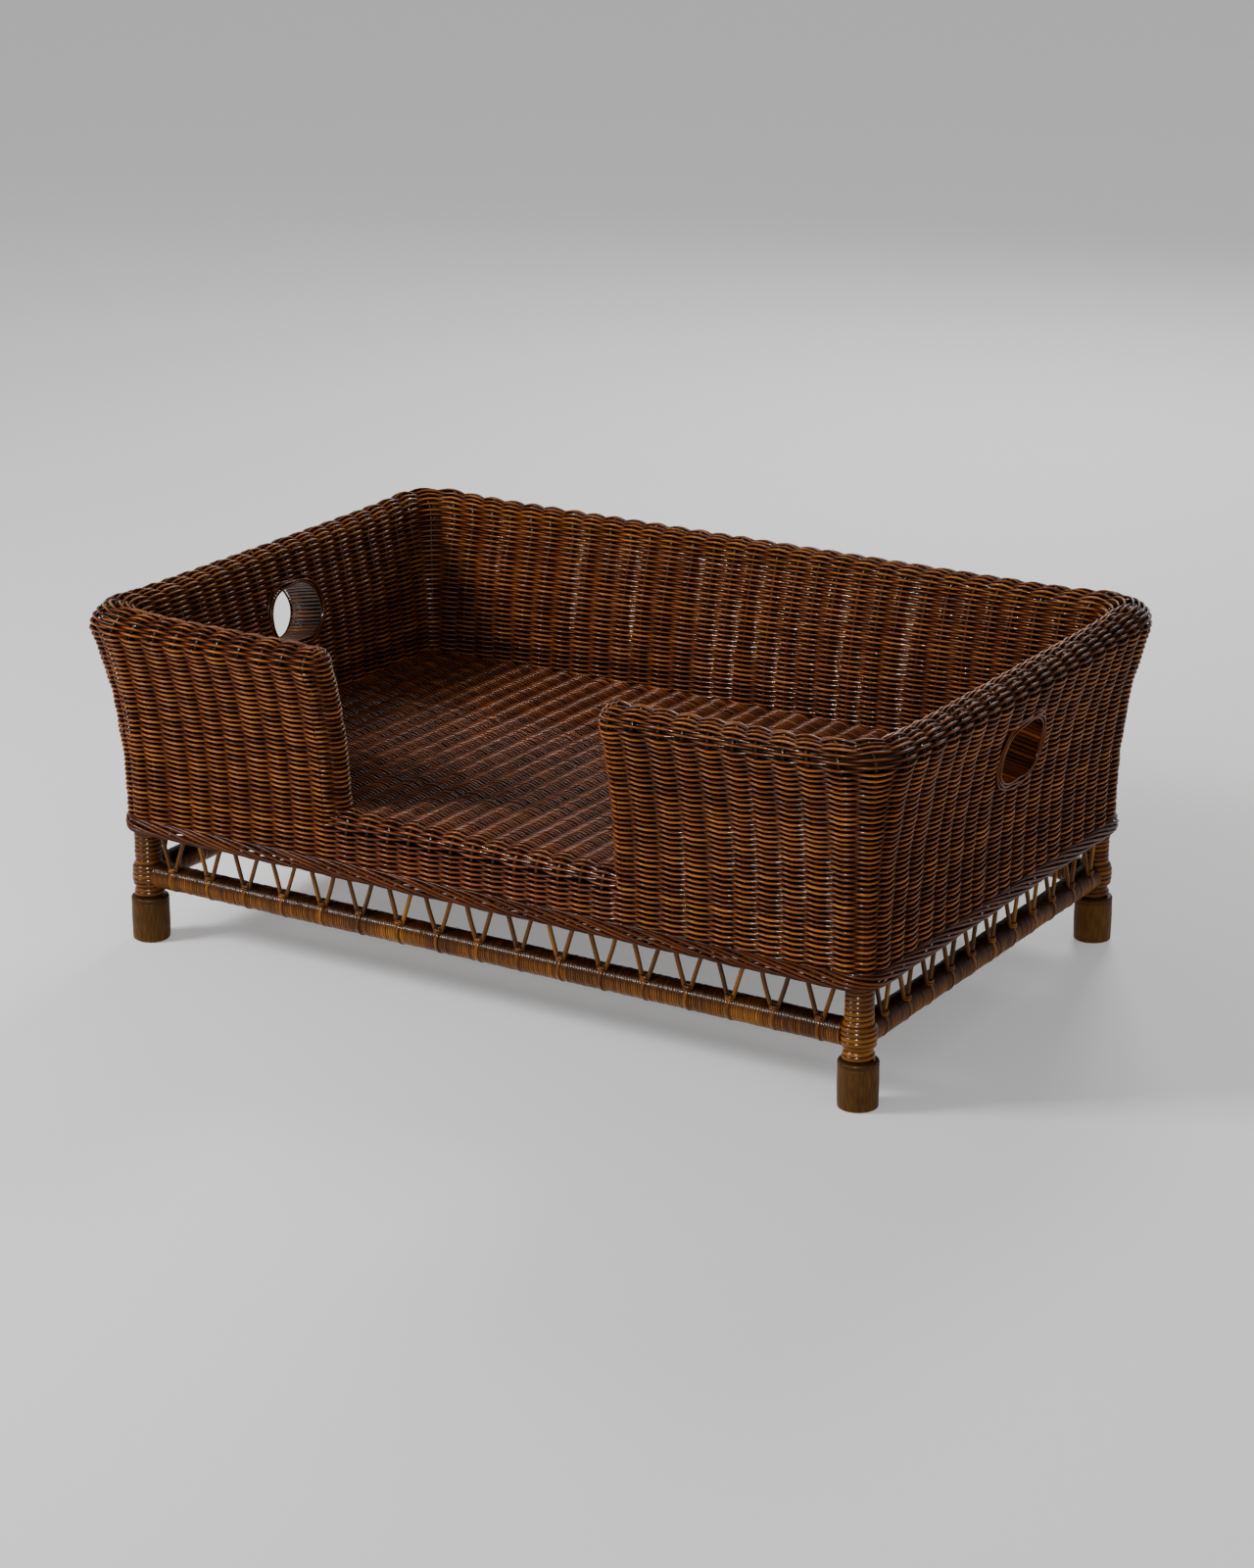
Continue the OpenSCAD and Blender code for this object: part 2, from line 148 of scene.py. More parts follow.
def outline(level, u):
    """Points of a rounded outline at stake numbers u, clockwise seen from above."""
    x, y, r = level[:3]
    u = np.asarray(u, float)
    seg = np.clip(np.searchsorted(EDGE, u, side="right") - 1, 0, 8)
    f = (u - EDGE[seg]) / np.array(LOOP, float)[seg]
    px, py = np.zeros_like(u), np.zeros_like(u)
    q = math.pi / 2
    straight = {0: ((-ENTRY_X, -y), (-(x - r), -y)), 2: ((-x, -(y - r)), (-x, y - r)),
                4: ((-(x - r), y), (x - r, y)), 6: ((x, y - r), (x, -(y - r))),
                8: ((x - r, -y), (ENTRY_X, -y))}
    for k, (a, b) in straight.items():
        m = seg == k
        px[m], py[m] = a[0] + (b[0] - a[0]) * f[m], a[1] + (b[1] - a[1]) * f[m]
    for k, (sx, sy, a0) in {1: (-1, -1, 3 * q), 3: (-1, 1, 2 * q), 5: (1, 1, q), 7: (1, -1, 0)}.items():
        m = seg == k
        a = a0 - q * f[m]
        px[m], py[m] = sx * (x - r) + r * np.cos(a), sy * (y - r) + r * np.sin(a)
    return px, py


def ripple(t, k, waves, amount, span_t=(4, 40), span_k=(2, 30)):
    """Smooth seeded noise over stake number t and row k, of wavelengths within the two spans."""
    out = 0
    for _ in range(waves):
        wt = FULL_TURN / rng.uniform(*span_t) * rng.choice([-1, 1])
        wk = FULL_TURN / rng.uniform(*span_k)
        out = out + np.cos(wt * t + wk * k + rng.uniform(*ANY_PHASE))
    return out * amount / math.sqrt(waves)


CORNER_U = [10, 30, 62, 82]      # stake numbers of the four corners
CORNER_LIFT = 4.0


def lift(u, z):
    """The rim rises a little at the basket's corners."""
    up = sum(np.exp(-((u - c) / 2.0) ** 2) for c in CORNER_U)
    return CORNER_LIFT * up * (np.clip(z - BASE_Z, 0, None) / (BODY_Z - BASE_Z)) ** 8


# ---- Strands into meshes -----------------------------------------------------

class Strands:
    """Collects strands and makes one mesh of them, each a tube of its own."""

    def __init__(self):
        self.items = []

    def add(self, pts, nrm, rad, tone, rise, closed=False, flat=1.0):
        """One strand through pts. flat squeezes its section along the outward directions nrm."""
        n = len(pts)
        if n < 2:
            return
        rad, tone, rise = (np.broadcast_to(np.asarray(v, float), (n,)) for v in (rad, tone, rise))
        self.items.append((np.asarray(pts, float), np.asarray(nrm, float), rad, tone, rise, closed, flat))

    def build(self, name, material, slot, nodes, sides=SIDES):
        verts, tones, rises, grains, quads, caps = [], [], [], [], [], []
        base = 0
        ang = np.arange(sides) / sides * FULL_TURN
        ca, sa = np.cos(ang), np.sin(ang)
        crest_shade = 0.38 + 0.62 * ((ca + 1) / 2) ** 2.5      # painted shade: a strand is darker towards its back and sides, where it meets its neighbours
        ring = np.arange(sides)
        ring_next = (ring + 1) % sides
        for k, (p, nrm, rad, tone, rise, closed, flat) in enumerate(self.items):
            n = len(p)
            if closed:
                t = np.roll(p, -1, 0) - np.roll(p, 1, 0)
            else:
                t = np.gradient(p, axis=0)
            t = unit(t)
            a = unit(nrm - (nrm * t).sum(1, keepdims=True) * t)
            b = np.cross(t, a)
            section = flat * ca[None, :, None] * a[:, None] + sa[None, :, None] * b[:, None]
            body = (p[:, None] + rad[:, None, None] * section).reshape(-1, 3)
            step = np.linalg.norm(np.diff(p, axis=0), axis=1)
            along = np.concatenate([[0], np.cumsum(step)])
            i0 = np.arange(n if closed else n - 1)
            i1 = (i0 + 1) % n
            q = np.stack([i0[:, None] * sides + ring, i0[:, None] * sides + ring_next,
                          i1[:, None] * sides + ring_next, i1[:, None] * sides + ring], -1).reshape(-1, 4)
            quads.append(q + base)
            verts.append(body)
            tones.append(np.repeat(tone, sides))
            rises.append(np.repeat(rise, sides) * np.tile(crest_shade, n))
            grains.append(np.stack([np.repeat(along, sides), np.tile(ca * 1.3, n),
                                    np.tile(sa * 1.3, n) + 3.7 * k], -1))
            base += n * sides
            if not closed:
                for end, order in ((0, ring[::-1]), (n - 1, ring)):
                    verts.append(body[end * sides:(end + 1) * sides])
                    tones.append(np.full(sides, tone[end]))
                    rises.append(np.full(sides, 0.1))
                    grains.append(np.zeros((sides, 3)))
                    caps.append(base + order)
                    base += sides
        faces = [np.concatenate(quads), np.array(caps).reshape(-1, sides)]
        make_mesh(name, np.concatenate(verts), faces, np.concatenate(tones), np.concatenate(rises),
                  np.concatenate(grains), material, nodes)


def make_mesh(name, co, groups, tone, rise, grain, material, nodes):
    """A smooth mesh from points in mm and arrays of corner numbers, with the attributes that
    the materials read: tone, the strand's own colour; a painted shade, light where a strand lies on top and
    dark where it dips or turns away, which some pieces also use for their own lighter or darker tone; grain,
    the fibres' space."""
    co = co * MM
    groups = [g for g in groups if len(g)]
    loops = np.concatenate([g.reshape(-1) for g in groups]).astype(np.int32)
    sizes = np.concatenate([np.full(len(g), g.shape[1]) for g in groups])
    starts = np.concatenate([[0], np.cumsum(sizes)[:-1]]).astype(np.int32)
    me = bpy.data.meshes.new(name)
    me.vertices.add(len(co))
    me.vertices.foreach_set("co", co.astype(np.float32).reshape(-1))
    me.loops.add(len(loops))
    me.loops.foreach_set("vertex_index", loops)
    me.polygons.add(len(starts))
    me.polygons.foreach_set("loop_start", starts)
    me.polygons.foreach_set("use_smooth", np.ones(len(starts), bool))
    for key, values in (("tone", tone), ("rise", rise)):
        at = me.attributes.new(key, "FLOAT", "POINT")
        at.data.foreach_set("value", np.asarray(values, np.float32))
    at = me.attributes.new("grain", "FLOAT_VECTOR", "POINT")
    at.data.foreach_set("vector", np.asarray(grain, np.float32).reshape(-1))
    me.update(calc_edges=True)
    me.validate()
    me.materials.append(material)
    ob = bpy.data.objects.new(name, me)
    bpy.context.scene.collection.objects.link(ob)
    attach(ob, "root")
    if nodes:
        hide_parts(*nodes)


# ---- Materials ----------------------------------------------------------------

def material(name, ramp, rough=(0.28, 0.46), coat=0.35, coat_rough=0.14, streak=0.35,
             tone_amount=0.6, rise_amount=0.45, bump=0.25, strands=True):
    """Stained and lacquered cane: long fine streaks, a tone for every strand, and painted shade where it
    dips and along its sides.
    Without strands it is for the CAD's own poles, which have no such attributes."""
    mat = bpy.data.materials.new(name)
    mat.use_nodes = True
    nt = mat.node_tree
    nt.nodes.clear()

    def node(kind, **values):
        n = nt.nodes.new(kind)
        for k, v in values.items():
            setattr(n, k, v)
        return n

    def calc(op, a, b=None, c=None):
        n = node("ShaderNodeMath", operation=op)
        for i, v in enumerate((a, b, c)):
            if isinstance(v, (int, float)):
                n.inputs[i].default_value = v
            elif v is not None:
                nt.links.new(v, n.inputs[i])
        return n.outputs[0]

    def attribute(key):
        return node("ShaderNodeAttribute", attribute_type="GEOMETRY", attribute_name=key).outputs

    def noise(where, scale, detail):
        n = node("ShaderNodeTexNoise")
        n.inputs["Scale"].default_value = scale
        n.inputs["Detail"].default_value = detail
        nt.links.new(where, n.inputs["Vector"])
        return n.outputs["Fac"]

    out = node("ShaderNodeOutputMaterial")
    bsdf = node("ShaderNodeBsdfPrincipled")
    nt.links.new(bsdf.outputs[0], out.inputs[0])
    coord = node("ShaderNodeTexCoord").outputs["Object"]
    stretch = node("ShaderNodeVectorMath", operation="MULTIPLY")
    stretch.inputs[1].default_value = (0.06, 1.6, 1.6) if strands else (900, 900, 60)
    nt.links.new(attribute("grain")["Vector"] if strands else coord, stretch.inputs[0])
    fibres = noise(stretch.outputs[0], 1.0, 3.0)
    cloud = noise(coord, 26.0, 2.0)
    value = calc("MULTIPLY_ADD", fibres, streak, 0.5 - streak / 2)
    value = calc("MULTIPLY_ADD", calc("SUBTRACT", cloud, 0.5), 0.3, value)
    if strands:
        value = calc("MULTIPLY_ADD", calc("SUBTRACT", attribute("tone")["Fac"], 0.5), tone_amount, value)
        # painted shade: darker where strands dip behind stakes and along their sides; some pieces also set
        # their own lighter or darker tone here
        value = calc("MULTIPLY_ADD", calc("SUBTRACT", attribute("rise")["Fac"], 0.55), rise_amount, value)
    colours = node("ShaderNodeValToRGB")
    el = colours.color_ramp.elements
    for i, (pos, rgb) in enumerate(ramp):
        e = el[i] if i < 2 else el.new(pos)
        e.position, e.color = pos, (*rgb, 1)
    nt.links.new(value, colours.inputs[0])
    nt.links.new(colours.outputs[0], bsdf.inputs["Base Color"])
    r = calc("MULTIPLY_ADD", fibres, rough[1] - rough[0], rough[0])
    nt.links.new(r, bsdf.inputs["Roughness"])
    b = node("ShaderNodeBump")
    b.inputs["Strength"].default_value = bump
    b.inputs["Distance"].default_value = 0.0003
    nt.links.new(fibres, b.inputs["Height"])
    nt.links.new(b.outputs[0], bsdf.inputs["Normal"])
    for key, v in {"Specular IOR Level": 0.14, "Specular Tint": (1.0, 0.74, 0.52, 1), "IOR": 1.4,
                   "Coat IOR": 1.42, "Coat Weight": coat, "Coat Roughness": coat_rough}.items():
        bsdf.inputs[key].default_value = v
    return mat


m_outer = material("outer_cane", [(0.0, (0.003, 0.0008, 0.0003)), (0.34, (0.024, 0.0038, 0.0004)),
                                  (0.62, (0.100, 0.020, 0.002)), (1.0, (0.41, 0.142, 0.024))],
                   rise_amount=0.78, coat=0.2, coat_rough=0.06)
m_inner = material("inner_cane", [(0.0, (0.003, 0.0006, 0.0003)), (0.32, (0.022, 0.0028, 0.0003)),
                                  (0.60, (0.100, 0.019, 0.0028)), (1.0, (0.40, 0.130, 0.032))],
                   rise_amount=0.6, coat=0.4, coat_rough=0.05)
m_peel = material("cane_peel", [(0.0, (0.012, 0.0026, 0.0004)), (0.4, (0.068, 0.018, 0.0012)),
                                (0.7, (0.22, 0.078, 0.006)), (1.0, (0.47, 0.23, 0.038))],
                  rough=(0.24, 0.4), coat=0.2, coat_rough=0.12, tone_amount=0.75, rise_amount=0.6)
m_dark_peel = material("dark_cane_peel", [(0.0, (0.005, 0.0012, 0.0004)), (0.4, (0.026, 0.0050, 0.0006)),
                                          (0.7, (0.075, 0.017, 0.0015)), (1.0, (0.20, 0.060, 0.007))],
                       rough=(0.16, 0.28), coat=0.8, coat_rough=0.08, tone_amount=0.7, rise_amount=0.5)
# a near-black sheet that stands for the shade inside the hollow walls
m_shade_sheet = material("painted_shade_sheet", [(0.0, (0.004, 0.0015, 0.0006)), (0.5, (0.010, 0.0035, 0.001)),
                                  (1.0, (0.03, 0.011, 0.003))], rough=(0.7, 0.9), coat=0.0, bump=0.3)
m_rod = material("cane_rod", [(0.0, (0.02, 0.005, 0.0006)), (0.5, (0.13, 0.044, 0.003)),
                              (1.0, (0.38, 0.17, 0.02))])
m_pole = material("cane_pole", [(0.0, (0.03, 0.011, 0.002)), (0.5, (0.11, 0.045, 0.009)),
                                (1.0, (0.30, 0.155, 0.04))],
                  strands=False, coat=0.1, coat_rough=0.3, streak=0.6, rough=(0.4, 0.6))
m_foot = material("foot_wood", [(0.0, (0.012, 0.0045, 0.0008)), (0.45, (0.052, 0.020, 0.0025)),
                                (0.75, (0.12, 0.05, 0.008)), (1.0, (0.24, 0.125, 0.03))],
                  rough=(0.4, 0.6), coat=0.1, coat_rough=0.25, streak=0.7, bump=0.5)

# ---- Woven walls ----------------------------------------------------------------
# A wall's stake numbers run along the outer face (0 to N_LOOP), round the right end, back
# along the inner face (N_LOOP + 2 to N_CLOSED - 2) and round the left end to N_CLOSED.
jitter = rng.normal(0, 0.05, N_CLOSED + 1)
for fixed in (0, N_LOOP, N_LOOP + 1, N_LOOP + 2, N_CLOSED - 2, N_CLOSED - 1, N_CLOSED):
    jitter[fixed] = 0
drift = rng.uniform(*ANY_PHASE, N_CLOSED + 1)


def warp(t, z):
    """Stake number t, moved by the small unevenness of the stakes at height z."""
    at = jitter * (1 + 0.5 * np.sin(z / 45.0 + drift))
    return t + np.interp(t, np.arange(N_CLOSED + 1), at)


def closed_point(t, outer, inner, cap_size=1.0):
    """Points right round a wall, between an outer and an inner level."""
    t = np.asarray(t, float)
    px, py = np.zeros_like(t), np.zeros_like(t)
    m = t <= N_LOOP
    px[m], py[m] = outline(outer, t[m])
    m = (t >= N_LOOP + 2) & (t <= N_CLOSED - 2)
    px[m], py[m] = outline(inner, N_CLOSED - 2 - t[m])
    mid, half = (outer[1] + inner[1]) / 2, (outer[1] - inner[1]) / 2
    depth = (END_ROUND - INSET) * cap_size
    for start, side, way in ((N_LOOP, 1, 1), (N_CLOSED - 2, -1, -1)):
        m = (t > start) & (t < start + 2)
        a = (t[m] - start - 1) * math.pi / 2 * way
        px[m] = side * (ENTRY_X - depth * np.cos(a))
        py[m] = -mid + half * np.sin(a)
    return px, py


def grid_normals(grid, wrap):
    """Directions square to a grid of points; with wrap its columns join up."""
    if wrap:
        along = np.roll(grid, -1, 1) - np.roll(grid, 1, 1)
    else:
        along = np.gradient(grid, axis=1)
    up = np.gradient(grid, axis=0)
    return unit(np.cross(up, along))


def dip_shade(wave):
    """How much of a strand shows at a place of its wave, 1 over a stake, 0 behind one: painted shade, darker
    where the strand dips behind a stake.
    """
    return 0.2 + 0.8 * np.clip(0.5 + 0.6 * wave, 0, 1) ** 0.8


def row_tones(rows, width):
    """A tone for every sample: each row is spliced from lengths of cane, each of its own colour."""
    out = np.zeros((rows, width))
    for k in range(rows):
        at = 0
        while at < width:
            run = int(rng.uniform(40, 260))
            out[k, at:at + run] = rng.normal(0.5, 0.11)
            at += run
    return np.clip(out, 0, 1)


T_CLOSED = np.arange(N_CLOSED * SUB) / SUB
A_ROWS, B_ROWS, C_ROWS = 13, 7, 57      # below the sill, beside the sill, above the bed
row_z = BORDER_TOP - 1.5 + PITCH * np.arange(A_ROWS + B_ROWS + C_ROWS)
HOLE_X = BASE_X - WALL_T / 2 + FLARE_X * flare_at(HOLE_Z)


def hole_distance(p, side):
    """How far points lie from the hand-hole's centre line, measured square to its tilted axis."""
    across = (p[..., 0] - side * HOLE_X) * side * math.sin(HOLE_TILT)
    tilted = across + (p[..., 2] - HOLE_Z) * math.cos(HOLE_TILT)
    over = np.maximum(np.abs(p[..., 1]) - (HOLE_W - HOLE_H) / 2, 0)
    return np.hypot(over, tilted)


def upper_rows():
    """Base points of the rows that run right round a wall, up to the crown's middle."""
    rows = []

    def add_row(px, py, z):
        rows.append(np.stack([px, py, np.full_like(px, z)], -1))

    for z in row_z[A_ROWS + B_ROWS:]:
        add_row(*closed_point(warp(T_CLOSED, z), outer_level(z, INSET), inner_level(z, INSET)), z)
    fine = np.linspace(0, math.pi / 2, 400)
    steps = np.hypot(np.diff((RIM_W / 2 - INSET) * np.cos(fine)), np.diff((CROWN_H - INSET) * np.sin(fine)))
    arc = np.concatenate([[0], np.cumsum(steps)])
    for s in PITCH * np.arange(1, 20) - (CROWN_Z - row_z[-1]):
        if s > arc[-1] - PITCH * 0.8:
            break
        a = np.interp(s, arc, fine)
        o, i = crown_level(a, INSET), crown_level(math.pi - a, INSET)
        add_row(*closed_point(warp(T_CLOSED, CROWN_Z), o, i, math.cos(a)), o[3])
    return np.stack(rows)


base = upper_rows()
ks = A_ROWS + B_ROWS + np.arange(len(base))
u_of = np.where(T_CLOSED <= N_LOOP, T_CLOSED, np.clip(N_CLOSED - 2 - T_CLOSED, 0, N_LOOP))
u_of = np.where((T_CLOSED > N_LOOP) & (T_CLOSED < N_LOOP + 2), N_LOOP, u_of)
kk, tt = np.meshgrid(ks, T_CLOSED, indexing="ij")
base[..., 2] += lift(u_of[None, :], base[..., 2])
nrm = grid_normals(base, True)
uneven = ripple(tt, kk, 6, 0.30, (6, 50), (14, 60)) + ripple(tt, kk, 6, 0.07)
base[..., 2] += uneven * np.clip((BODY_Z - base[..., 2]) / 12, 0, 1)
base += nrm * ripple(tt, kk, 6, 0.45, *FAR_WANDER)[..., None]
# the weave is shallower where the stakes stand close and over the rim
space = np.linalg.norm(np.roll(base, -SUB, 1) - base, axis=2)
amp = AMP * np.clip(space / 15, 0.25, 1.0) * (1 - 0.25 * np.clip((base[..., 2] - CROWN_Z) / CROWN_H, 0, 1))
wave = np.cos(math.pi * (tt + kk))
grid = base + nrm * (amp * wave)[..., None]
tones = row_tones(*tt.shape)
tones[:, (T_CLOSED > N_LOOP + 2) & (T_CLOSED < N_CLOSED - 2)] += 0.14      # painted light: the inner face's rows are a little lighter
radii = WEAVER_R * (1 + rng.normal(0, SPREAD, len(ks)))[:, None] * np.ones_like(tt)
# painted shade where each row dips behind a stake
rise = dip_shade(wave)
made = {}


def bag(name):
    """The strands collected so far for one piece."""
    return made.setdefault(name, Strands())


def add_run(target, k, t0, t1, keep=None):
    """Adds row k of the upper grid from stake t0 to t1, cut where keep falls below zero."""
    idx = np.arange(t0 * SUB, t1 * SUB + 1) % len(T_CLOSED)
    p, rest = grid[k, idx], [v[k, idx] for v in (nrm, radii, tones, rise)]
    if keep is None:
        bag(target).add(p, *rest)
        return
    d = keep[k, idx]
    last = len(idx) - 1
    ok = np.concatenate([[False], d > 0, [False]])
    starts, ends = np.flatnonzero(~ok[:-1] & ok[1:]), np.flatnonzero(ok[:-1] & ~ok[1:]) - 1
    for i, j in zip(starts, ends):
        # a cut end is carried on to where keep is zero, with the values of its last sample
        head, tail = int(i > 0), int(j < last)
        where = np.concatenate([[i] * head, np.arange(i, j + 1), [j] * tail]).astype(int)
        q = p[where]
        if head:
            q[0] = p[i] + (p[i - 1] - p[i]) * (d[i] / (d[i] - d[i - 1]))
        if tail:
            q[-1] = p[j] + (p[j + 1] - p[j]) * (d[j] / (d[j] - d[j + 1]))
        bag(target).add(q, *(v[where] for v in rest))


gap = {"left": hole_distance(base, -1) - HOLE_CUT, "right": hole_distance(base, 1) - HOLE_CUT}
for k in range(len(ks)):
    wall = k < C_ROWS
    for name, (a, b) in PANEL.items():
        keep = gap.get(name) if wall else None
        add_run(f"outer_weave_{name}" if wall else f"rim_{name}", k, a, b, keep)
        back = N_CLOSED - 2
        add_run(f"inner_weave_{name}" if wall else f"rim_{name}", k, back - b, back - a, keep)
    add_run("entry_end_right", k, N_LOOP, N_LOOP + 2)
    add_run("entry_end_left", k, N_CLOSED - 2, N_CLOSED)

# the row along the middle of the crown
top = crown_level(math.pi / 2, INSET)
t = np.arange(N_LOOP * SUB + 1) / SUB
p = np.stack([*outline(top, warp(t, CROWN_Z)), top[3] + lift(t, BODY_Z)], -1)
w = np.cos(math.pi * (t + ks[-1] + 1))
p[:, 2] += AMP * w
for name, (a, b) in PANEL.items():
    sl = slice(a * SUB, b * SUB + 1)
    bag(f"rim_{name}").add(p[sl], np.tile([0.0, 0, 1], (len(p[sl]), 1)), WEAVER_R, 0.55, dip_shade(w[sl]))

# rows below the bed: rings with the sill's face (A), then open rows with both ends (B)
for k, z in enumerate(row_z[:A_ROWS + B_ROWS]):
    lev, inn = outer_level(z, INSET), inner_level(z, INSET)
    ring = k < A_ROWS
    t = np.arange(0 if ring else -2 * SUB, (N_LOOP + (SILL_N if ring else 2)) * SUB + 1) / SUB
    px, py = np.zeros_like(t), np.zeros_like(t)
    face, past, before = (t >= 0) & (t <= N_LOOP), t > N_LOOP, t < 0
    px[face], py[face] = outline(lev, np.clip(warp(t[face], z), 0, N_LOOP))
    if ring:
        px[past], py[past] = ENTRY_X - SILL_STEP * (t[past] - N_LOOP), -lev[1]
    else:
        px[past], py[past] = closed_point(t[past], lev, inn)
        px[before], py[before] = closed_point(t[before] + N_CLOSED, lev, inn)
    p = np.stack([px, py, np.full_like(px, z)], -1)
    d = np.gradient(p, axis=0)
    n = np.stack([-d[:, 1], d[:, 0], np.zeros_like(px)], -1)
    n /= np.linalg.norm(n, axis=1, keepdims=True)
    p[:, 2] += ripple(t, k, 6, 0.10)
    p += n * ripple(t, k, 6, 0.35, *FAR_WANDER)[:, None]
    w = np.cos(math.pi * (t + k))
    p += n * (AMP * w)[:, None]
    tn = row_tones(1, len(t))[0]
    r = WEAVER_R * (1 + rng.normal(0, SPREAD))
    off = 0 if ring else 2
    spans = [(f"outer_weave_{q}", a + off, b + off) for q, (a, b) in PANEL.items()]
    if ring:
        spans.append(("entry_sill", N_LOOP, N_LOOP + SILL_N))
    else:
        spans += [("entry_end_left", 0, 2), ("entry_end_right", N_LOOP + 2, N_LOOP + 4)]
    for target, a, b in spans:
        sl = slice(a * SUB, b * SUB + 1)
        bag(target).add(p[sl], n[sl], r, tn[sl], dip_shade(w[sl]))

# stakes: up the outer face, over the crown, down the inner face
STAKE_STEP, STAKE_FOOT, STAKE_RISE = 6.0, BORDER_TOP - 4, 0.3
for s in range(1, N_LOOP):
    out_u, in_u = np.array([float(s)]), np.array([float(N_CLOSED - 2 - s)])
    pts, where = [], []

    def stake_point(level, u, z, stem):
        x, y = outline(level, u)
        pts.append((x[0], y[0], z + lift(s, z)))
        where.append(stem)

    for z in np.arange(STAKE_FOOT, CROWN_Z, STAKE_STEP):
        stake_point(outer_level(z, INSET), warp(out_u, z), z, "outer_weave")
    for a in np.linspace(0, math.pi, 19):
        lev, mix = crown_level(a, INSET), a / math.pi
        u = (1 - mix) * warp(out_u, CROWN_Z) + mix * (N_CLOSED - 2 - warp(in_u, CROWN_Z))
        stake_point(lev, u, lev[3], "rim")
    for z in np.arange(CROWN_Z - 4, BED_Z - 4, -STAKE_STEP):
        stake_point(inner_level(z, INSET), N_CLOSED - 2 - warp(in_u, z), z, "inner_weave")
    pts, where = np.array(pts), np.array(where)
    near = np.stack(outline(outer_level(250.0, 0), np.array([s - 0.2, s, s + 0.2])), -1)
    n = np.cross(np.gradient(pts, axis=0), [*np.gradient(near, axis=0)[1], 0.0])
    n /= np.linalg.norm(n, axis=1, keepdims=True)
    panel = next(q for q, (a, b) in PANEL.items() if a <= s <= b)
    tone = one_tone(0.45, 0.15)
    for stem in ("outer_weave", "rim", "inner_weave"):
        idx = np.flatnonzero(where == stem)
        if stem == "rim":
            idx = np.concatenate([[idx[0] - 1], idx, [idx[-1] + 1]])
        lengths = [idx]
        if panel in ("left", "right") and stem != "rim":
            cut = np.flatnonzero(hole_distance(pts[idx], -1 if panel == "left" else 1) < HOLE_CUT)
            if len(cut):
                lengths = [idx[:cut[0]], idx[cut[-1] + 1:]]
        for part in lengths:
            bag(f"{stem}_{panel}").add(pts[part], n[part], STAKE_R, tone, STAKE_RISE)

# the stakes of the two rounded ends
for side, name in ((-1, "entry_end_left"), (1, "entry_end_right")):
    for a0 in (-math.pi / 2, 0, math.pi / 2):
        pts = []

        def end_point(o, i, z, reach=1.0):
            pts.append((side * (ENTRY_X - (END_ROUND - INSET) * math.cos(a0) * reach),
                        -(o[1] + i[1]) / 2 + (o[1] - i[1]) / 2 * math.sin(a0), z))

        for z in np.arange(STAKE_FOOT if a0 < 0 else SILL_Z + 4, CROWN_Z, STAKE_STEP):
            end_point(outer_level(z, INSET), inner_level(z, INSET), z)
        for a in np.linspace(0, math.pi / 2, 8)[:-1]:
            o = crown_level(a, INSET)
            end_point(o, crown_level(math.pi - a, INSET), o[3], math.cos(a))
        n = np.tile([-side * math.cos(a0), math.sin(a0), 0.01], (len(pts), 1))
        bag(name).add(pts, n, STAKE_R, 0.45, STAKE_RISE)

# ---- Sill and bed floor ------------------------------------------------------------
roll_r = SILL_R - INSET
# y, z, normal y and normal z of the rows after the sill's face
profile = []
n_roll = int(round(roll_r * math.pi / 2 / PITCH))
for i in range(n_roll):
    a = math.pi / 2 * (i + 0.5) / n_roll
    profile.append((SILL_Y - roll_r * math.cos(a), SILL_Z + roll_r * math.sin(a), -math.cos(a), math.sin(a)))
floor_z = BED_Z - INSET
inner_x, inner_y = inner_level(BED_Z, INSET)[:2]
for i in range(int((inner_y - SILL_Y) / PITCH)):
    profile.append((SILL_Y + PITCH * (i + 0.5), floor_z, 0.0, 1.0))
for i, (y, z, ny, nz) in enumerate(profile):
    k = A_ROWS + i
    reach = ENTRY_X - 2 if y < -inner_y else inner_x
    half_n = int(math.floor(reach / SILL_STEP * SUB))
    xs = np.arange(-half_n, half_n + 1) / SUB
    t = N_LOOP + SILL_N / 2 - xs
    w = np.cos(math.pi * (t + k))
    n = np.tile([0.0, ny, nz], (len(xs), 1))
    p = np.stack([xs * SILL_STEP, np.full_like(xs, y), np.full_like(xs, z)], -1)
    wob = ripple(xs, k, 6, 0.10)
    p[:, 1] += wob * nz
    p[:, 2] += wob * -ny
    p += n * (ripple(xs, k, 5, 0.35, *FAR_WANDER) + AMP * w)[:, None]
    # the bed's rows are a little darker: painted shade inside the basket
    tn = row_tones(1, len(xs))[0] - (0.10 if i >= n_roll else 0)
    r = WEAVER_R * (1 + rng.normal(0, SPREAD))
    if i < n_roll:
        bag("entry_sill").add(p, n, r, tn, dip_shade(w))
    else:
        c = len(xs) // 2
        bag("bed_floor_left").add(p[:c + 1], n[:c + 1], r, tn[:c + 1], dip_shade(w[:c + 1]))
        bag("bed_floor_right").add(p[c:], n[c:], r, tn[c:], dip_shade(w[c:]))
